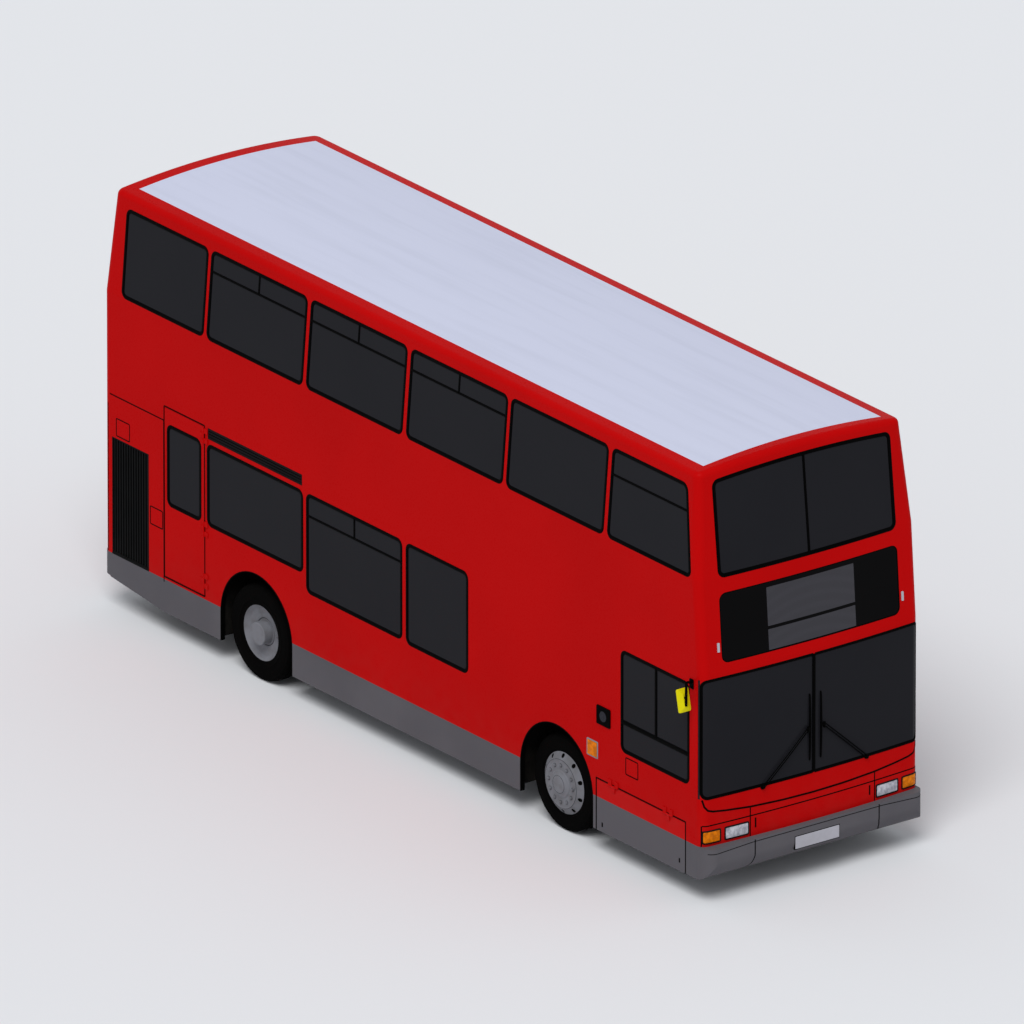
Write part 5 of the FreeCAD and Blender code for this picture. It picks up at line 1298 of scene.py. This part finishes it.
# Each wiper: its spindle, its arm's end, and the blade's y, foot and head
WIPERS = [((-0.590, 1.040), (-0.075, 1.510), -0.050, 1.190, 1.840)]
WIPERS += [((0.630, 1.050), (0.113, 1.515), 0.080, 1.190, 1.840)]
SPINDLE = [
    (0, -0.001), (0.026, -0.001), (0.026, 0.006), (0.018, 0.010), (0.018, 0.022), (0.012, 0.028),
    (0, 0.030)
]
ROD_GAP, ROD_HEIGHTS = 0.011, ((0.0, 0.015), (0.10, 0.022), (0.5, 0.025), (1.0, 0.023))
SPINE = [
    (-0.007, -0.003), (0.007, -0.003), (0.007, 0.004), (0.003, 0.006), (-0.003, 0.006), (-0.007, 0.004)
]
LIP = [
    (-0.0015, 0.0005), (0.0015, 0.0005), (0.005, 0.006), (0.005, 0.010), (-0.005, 0.010), (-0.005, 0.006)
]
BLADE_STEPS, AHEAD = 8, Vector((1, 0, 0))
front_shape = shape_of("windscreen", "front_upper", "front_lower")
wiper = bmesh.new()


def lay(spots, section):
    """Runs a section through (y, z, height over the screen) spots."""
    path = []
    for y, z, height in spots:
        point, out = touch(front_shape, "front", y, z)
        path.append(point + out * height)
    sweep(wiper, path, [AHEAD] * len(path), section)


for (pivot_y, pivot_z), (elbow_y, elbow_z), blade_y, blade_low, blade_high in WIPERS:
    spot, out = touch(front_shape, "front", pivot_y, pivot_z)
    lathe(wiper, spot, out, SPINDLE, 20)
    run = Vector((0, elbow_y - pivot_y, elbow_z - pivot_z))
    beside = Vector((0, -run.z, run.y)).normalized() * ROD_GAP
    for hand in (-1, 1):
        y, z = pivot_y + hand * beside.y, pivot_z + hand * beside.z
        lay([(y + run.y * share, z + run.z * share, h) for share, h in ROD_HEIGHTS], section_round(0.0055))
    lay([(elbow_y, elbow_z - 0.035, 0.022), (elbow_y, elbow_z + 0.02, 0.022)], section_round(0.013))
    middle = (blade_low + blade_high) / 2
    lay([(elbow_y, elbow_z, 0.022), (blade_y, middle, 0.020)], section_round(0.009))
    shares = [k / BLADE_STEPS for k in range(BLADE_STEPS + 1)]
    long = blade_high - blade_low
    lay([(blade_y, blade_low + long * s, 0.010 + 0.010 * math.sin(math.pi * s)) for s in shares], SPINE)
    lay([(blade_y, blade_low - 0.01 + (long + 0.02) * s, 0.0) for s in shares], LIP)
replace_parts(piece("wiper_arms_blades", wiper, rubber_black, "bus"), "wipers")

# ---------------------------------------------------------------- doors and covers
# The passenger leaves are red frames with a rubber strip round each. The escape door, the engine
# cover and the side flap hang on outside hinges; the flap is red above the skirt line.

LEAVES = [(door, leaf) for door in ("entrance", "exit") for leaf in ("front", "rear")]
dress(bus_red, "engine_cover", "emergency_door", *[f"{door}_leaf_{leaf}" for door, leaf in LEAVES])
flap_recipe, place = start("flap_two_tone")
skirt_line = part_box("skirts")[1].z
above = flap_recipe.ease(flap_recipe.axis(place, 2), skirt_line - 0.0005, skirt_line + 0.0005)
fine = flap_recipe.noise(place, 60.0)
two_tone = flap_recipe.mixed(above, tone(92, 90, 95), tone(187, 9, 10))
two_tone = flap_recipe.mixed(settled_dust(flap_recipe, place, 0.06), two_tone, DUST)
flap_paint = surface(flap_recipe, two_tone, 0.50 - 0.20 * above, fine, 0.0003, shine=0.03)
dress(flap_paint, "side_flap")

LEAF_RAIL = 0.062
for door, leaf in LEAVES:
    node, pane_node = f"{door}_leaf_{leaf}", f"{door}_glass_{leaf}"
    low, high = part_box(pane_node)
    x0, x1 = low.x - LEAF_RAIL + 0.010, high.x + LEAF_RAIL - 0.010
    z0, z1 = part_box(node)[0].z + 0.018, high.z + LEAF_RAIL - 0.010
    nose = bmesh.new()
    around = rounded(x0, x1, z0, z1, 0.010, 3)
    line_on(nose, shape_of(node, pane_node), "nearside", around, strip(0.016, 0.003), True, 0.2)
    piece(f"{door}_rubber_{leaf}", nose, rubber_black, f"{door}_{leaf}", 60)

LOUVRES, LOUVRE_FOOT, LOUVRE_PITCH = 9, 0.86, 0.055
LOUVRE = [
    (-0.018, -0.001), (-0.016, 0.004), (0.004, 0.010), (0.018, 0.010), (0.018, 0.008), (0.008, 0.002),
    (0.006, -0.001)
]
latches = bmesh.new()
cover_shape = shape_of("engine_cover")
for y in (-0.62, 0.62):
    lid_on(latches, cover_shape, "rear", (y - 0.055, y + 0.055, 0.655, 0.695), 0.008, 0.006, 0.03)
for k in range(LOUVRES):
    z = LOUVRE_FOOT + LOUVRE_PITCH * k
    line_on(latches, cover_shape, "rear", [(-0.40, z), (0.40, z)], LOUVRE, step=0.2)
piece("engine_cover_louvres", latches, grille_black, "engine_lid")
flap_slots = bmesh.new()
flap_shape = shape_of("side_flap")
for x, z in ((3.125, 0.309), (4.325, 0.342)):
    lid_on(
        flap_slots, flap_shape, "offside", (x - 0.009, x + 0.009, z - 0.022, z + 0.022), 0.004, 0.003,
        0.03
    )
piece("flap_latches", flap_slots, seal_black, "flap")

# ---------------------------------------------------------------- wheels
# Steel disc wheels in grey enamel, dulled by brake dust. Each front disc has twelve nuts and a
# cone with ten hand holes round it, with a black ring of painted shade behind the holes; the rear
# pair is bolted behind the hub's drum. The tyres have zigzag grooves, notched shoulders and ribbed
# sidewalls.

wheel_recipe, place = start("wheel_silver")
fine = wheel_recipe.noise(place, 110.0)
dusty = wheel_recipe.ease(wheel_recipe.noise(place, 9.0, 5.0), 0.35, 0.75)
silver = wheel_recipe.mixed(0.40 * dusty, tone(117, 118, 124), tone(84, 80, 76))
wheel_silver = surface(wheel_recipe, silver, 0.42 + 0.2 * dusty, fine, 0.0003, shine=0.12)
dress(wheel_silver, "rim_front_left", "rim_front_right", "rims_rear_left", "rims_rear_right")
tyre_recipe, place = start("tyre_black")
fine = tyre_recipe.noise(place, 180.0, 4.0)
dusty = tyre_recipe.ease(tyre_recipe.noise(place, 5.0, 4.0), 0.3, 0.8)
black = tyre_recipe.mixed(0.5 * dusty, (0.0012, 0.0011, 0.0011, 1), (0.0030, 0.0028, 0.0026, 1))
tyre_black = surface(tyre_recipe, black, 0.80 + 0.1 * dusty, fine, 0.0006, shine=0.02)

NUTS, NUT_CIRCLE = 12, 0.186
NUT_PROFILE = [
    (0.0165, -0.002), (0.0165, 0.003), (0.0135, 0.004), (0.0135, 0.012), (0.0115, 0.014), (0.0070, 0.014),
    (0.0070, 0.018), (0, 0.019)
]
RUBBER_SIDE = [(0.2750, 0.1150), (0.2750, 0.1178), (0.2775, 0.1192), (0.2990, 0.1212), (0.3260, 0.1270)]
RUBBER_SIDE += [(0.3290, 0.1300), (0.3330, 0.1300), (0.3360, 0.1285), (0.3800, 0.1365), (0.4240, 0.1340)]
RUBBER_SIDE += [(0.4420, 0.1290), (0.4450, 0.1300), (0.4490, 0.1285), (0.4590, 0.1215), (0.4690, 0.1130)]
RUBBER_SIDE += [(0.4748, 0.1040)]
# The front wheels' trim reaches further over the tyre, so the rubber starts beyond it outside.
FRONT_LIP = [(0.3065, 0.1060), (0.3065, 0.1196), (0.3085, 0.1212), (0.3160, 0.1238), (0.3260, 0.1270)]
SHOULDER_FROM = 13
GROOVES, GROOVE_DEEP, ZIGZAG = (-0.074, -0.025, 0.025, 0.074), 0.013, 0.0032
GROOVE_SECTION = [(-0.016, 0.0), (-0.006, 0.0), (-0.0045, GROOVE_DEEP)]
GROOVE_SECTION += [(0.0045, GROOVE_DEEP), (0.006, 0.0), (0.016, 0.0)]
TURNS, NOTCH_EVERY, NOTCH_DEEP = 180, 5, 0.006


def tyre(bm, centre, tyre_radius, right, left):
    """One tyre about its axle's centre: rings of a section whose groove points swing to and fro."""
    section = [(radius, -t, 0.0, n >= SHOULDER_FROM) for n, (radius, t) in enumerate(right)]
    for groove in GROOVES:
        for offset, deep in GROOVE_SECTION:
            t = groove + offset
            zig = ZIGZAG if abs(offset) < 0.01 else 0.0
            section.append((tyre_radius - 0.0042 * (t / 0.104) ** 2 - deep, t, zig, False))
    section += [(radius, t, 0.0, n >= SHOULDER_FROM) for n, (radius, t) in reversed(list(enumerate(left)))]
    swing = (0, 1, 0, -1)
    rings = []
    for k in range(TURNS):
        turn = 2 * math.pi * k / TURNS
        ring = []
        for radius, t, zig, shoulder in section:
            r = radius - (NOTCH_DEEP if shoulder and k % NOTCH_EVERY == 0 else 0.0)
            spoke = Vector((r * math.sin(turn), t + zig * swing[k % 4], -r * math.cos(turn)))
            ring.append(bm.verts.new(centre + spoke))
        rings.append(ring)
    join(bm, rings, True)


groove_grey = coated("groove_grey", tone(58, 58, 62), tone(48, 48, 52), 0.6, 200, 0.0001, shine=0.05)
FACE_OUT = 0.163  # the front disc's face, outward from the wheel's middle plane
# Fine dark joints on the wheels: radius, distance outward, width
RIM_LINES = {
    "front": [(0.2405, 0.1652, 0.0030), (0.0860, 0.1925, 0.0028)], "rear": [(0.1312, 0.0575, 0.0060)]
}


def closed_ring(bm, foot, axis, section, sides=72):
    """A closed section of (radius, height) turned about an axis through foot."""
    lathe(bm, foot, axis, section + section[:1], sides)
    bmesh.ops.remove_doubles(bm, verts=bm.verts, dist=1e-6)


def drilled_cone(bm, centre, side, inner, outer, count, pitch, hole, deep):
    """A cone's band between two circles of (radius, height), with round hand holes through it."""

    def spot(turn, radius, sunk):
        share = (radius - inner[0]) / (outer[0] - inner[0])
        height = inner[1] + (outer[1] - inner[1]) * share - sunk
        return bm.verts.new(
            centre + Vector((radius * math.cos(turn), side * height, radius * math.sin(turn)))
        )

    half = math.pi / count
    border = [(-half + half * k / 4, outer[0], "rim") for k in range(8)]
    border += [(half, outer[0] + (inner[0] - outer[0]) * k / 2, "side") for k in range(2)]
    border += [(half - half * k / 4, inner[0], "rim") for k in range(8)]
    border += [(-half, inner[0] + (outer[0] - inner[0]) * k / 2, "side") for k in range(2)]
    for n in range(count):
        middle = 2 * math.pi * (n + 0.5) / count
        sheets = []
        for sunk in (0.0, deep):
            edge, round_edge = [], []
            for swing, radius, kind in border:
                bearing = math.atan2(radius - pitch, swing * pitch)
                edge.append(spot(middle + swing, radius, sunk))
                round_edge.append(
                    spot(middle + hole * math.cos(bearing) / pitch, pitch + hole * math.sin(bearing), sunk)
                )
            sheets.append((edge, round_edge))
        (top, top_hole), (under, under_hole) = sheets
        for k in range(len(border)):
            bm.faces.new((top[k - 1], top[k], top_hole[k], top_hole[k - 1]))
            bm.faces.new((under[k - 1], under[k], under_hole[k], under_hole[k - 1]))
            bm.faces.new((top_hole[k - 1], top_hole[k], under_hole[k], under_hole[k - 1]))
            if border[k - 1][2] == "rim":
                bm.faces.new((top[k - 1], top[k], under[k], under[k - 1]))
    bmesh.ops.remove_doubles(bm, verts=bm.verts, dist=1e-6)


WHEELS = [
    ("front", "left", "", 1), ("front", "right", "", -1), ("rear", "left", "s", 1),
    ("rear", "right", "s", -1)
]
TYRE_WIDTH = 0.275
VALVE_X, VALVE_Z = 0.216, 0.02
VALVE = [(0.006, -0.002), (0.006, 0.012), (0.0045, 0.014), (0.0045, 0.034), (0, 0.036)]
NUT_RING = [(0.0165, -0.001), (0.0200, -0.001), (0.0200, 0.0012), (0.0165, 0.0012)]
CONE_IN, CONE_OUT = (0.2425, 0.1622), (0.3062, 0.1198)
CONE_LIP = [
    (0.2240, 0.1560), (0.2240, 0.1625), (0.2250, 0.1645), (0.2405, 0.1645), (0.2425, 0.1630),
    (0.2425, 0.1560)
]
# A black ring behind the cone's hand holes: painted shade for the dark inside of the wheel seen through
# them.
CONE_SHADE_RING = [(0.2560, 0.1440), (0.2970, 0.1170), (0.2970, 0.1150), (0.2560, 0.1420)]
HAND_HOLES, HOLE_CIRCLE, HOLE, CONE_THICK = 10, 0.2790, 0.0215, 0.005
for place, hand, plural, side in WHEELS:
    name, outward = f"{place}_{hand}", Vector((0, side, 0))
    body, rim, rubber = (f"{kind}{plural}_{name}" for kind in ("wheel", "rim", "tyre"))
    low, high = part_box(rubber)
    x, z = (low.x + high.x) / 2, (low.z + high.z) / 2
    stations = [low.y + TYRE_WIDTH / 2]
    if place == "rear":
        stations.append(high.y - TYRE_WIDTH / 2)
    outer_side = FRONT_LIP + RUBBER_SIDE[len(FRONT_LIP):] if place == "front" else RUBBER_SIDE
    sidewalls = (RUBBER_SIDE, outer_side) if side > 0 else (outer_side, RUBBER_SIDE)
    treads = bmesh.new()
    for y in stations:
        tyre(treads, Vector((x, y, z)), (high.x - low.x) / 2, *sidewalls)
    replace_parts(piece(f"tread_{name}", treads, tyre_black, body, 40), rubber)
    rim_shape = shape_of(rim)
    turns = [2 * math.pi * k / NUTS for k in range(NUTS if place == "front" else 0)]
    nuts = bmesh.new()
    for turn in turns:
        origin = Vector((x + NUT_CIRCLE * math.cos(turn), side * REACH, z + NUT_CIRCLE * math.sin(turn)))
        lathe(nuts, rim_shape.ray_cast(origin, -outward)[0], outward, NUT_PROFILE, 6, turn)
    spot = rim_shape.ray_cast(Vector((x + VALVE_X, side * REACH, z + VALVE_Z)), -outward)[0]
    if spot is not None:
        lathe(nuts, spot, outward, VALVE, 10)
    piece(f"nuts_{name}", nuts, wheel_silver, body, 25)
    centre = Vector((x, stations[0] if side < 0 else stations[-1], z))
    lines = bmesh.new()
    for radius, height, width in RIM_LINES[place]:
        under, wide = height - 0.002, radius + width
        closed_ring(
            lines, centre, outward, [(radius, height), (wide, height), (wide, under), (radius, under)]
        )
    for turn in turns:
        spoke = Vector((NUT_CIRCLE * math.cos(turn), 0, NUT_CIRCLE * math.sin(turn)))
        closed_ring(lines, centre + spoke + outward * FACE_OUT, outward, NUT_RING, 20)
    if place == "front":
        cover, dark = bmesh.new(), bmesh.new()
        closed_ring(cover, centre, outward, CONE_LIP, 96)
        drilled_cone(cover, centre, side, CONE_IN, CONE_OUT, HAND_HOLES, HOLE_CIRCLE, HOLE, CONE_THICK)
        closed_ring(dark, centre, outward, CONE_SHADE_RING, 64)
        piece(f"rim_cone_{name}", cover, wheel_silver, body, 25)
        # The black ring behind the hand holes is painted shade.
        piece(f"rim_dark_{name}", dark, tyre_black, body, 40)
    piece(f"rim_lines_{name}", lines, groove_grey, body, 40)

# ---------------------------------------------------------------- sizes and finish
# The dressed model's box, with the floor left out.

low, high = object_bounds()
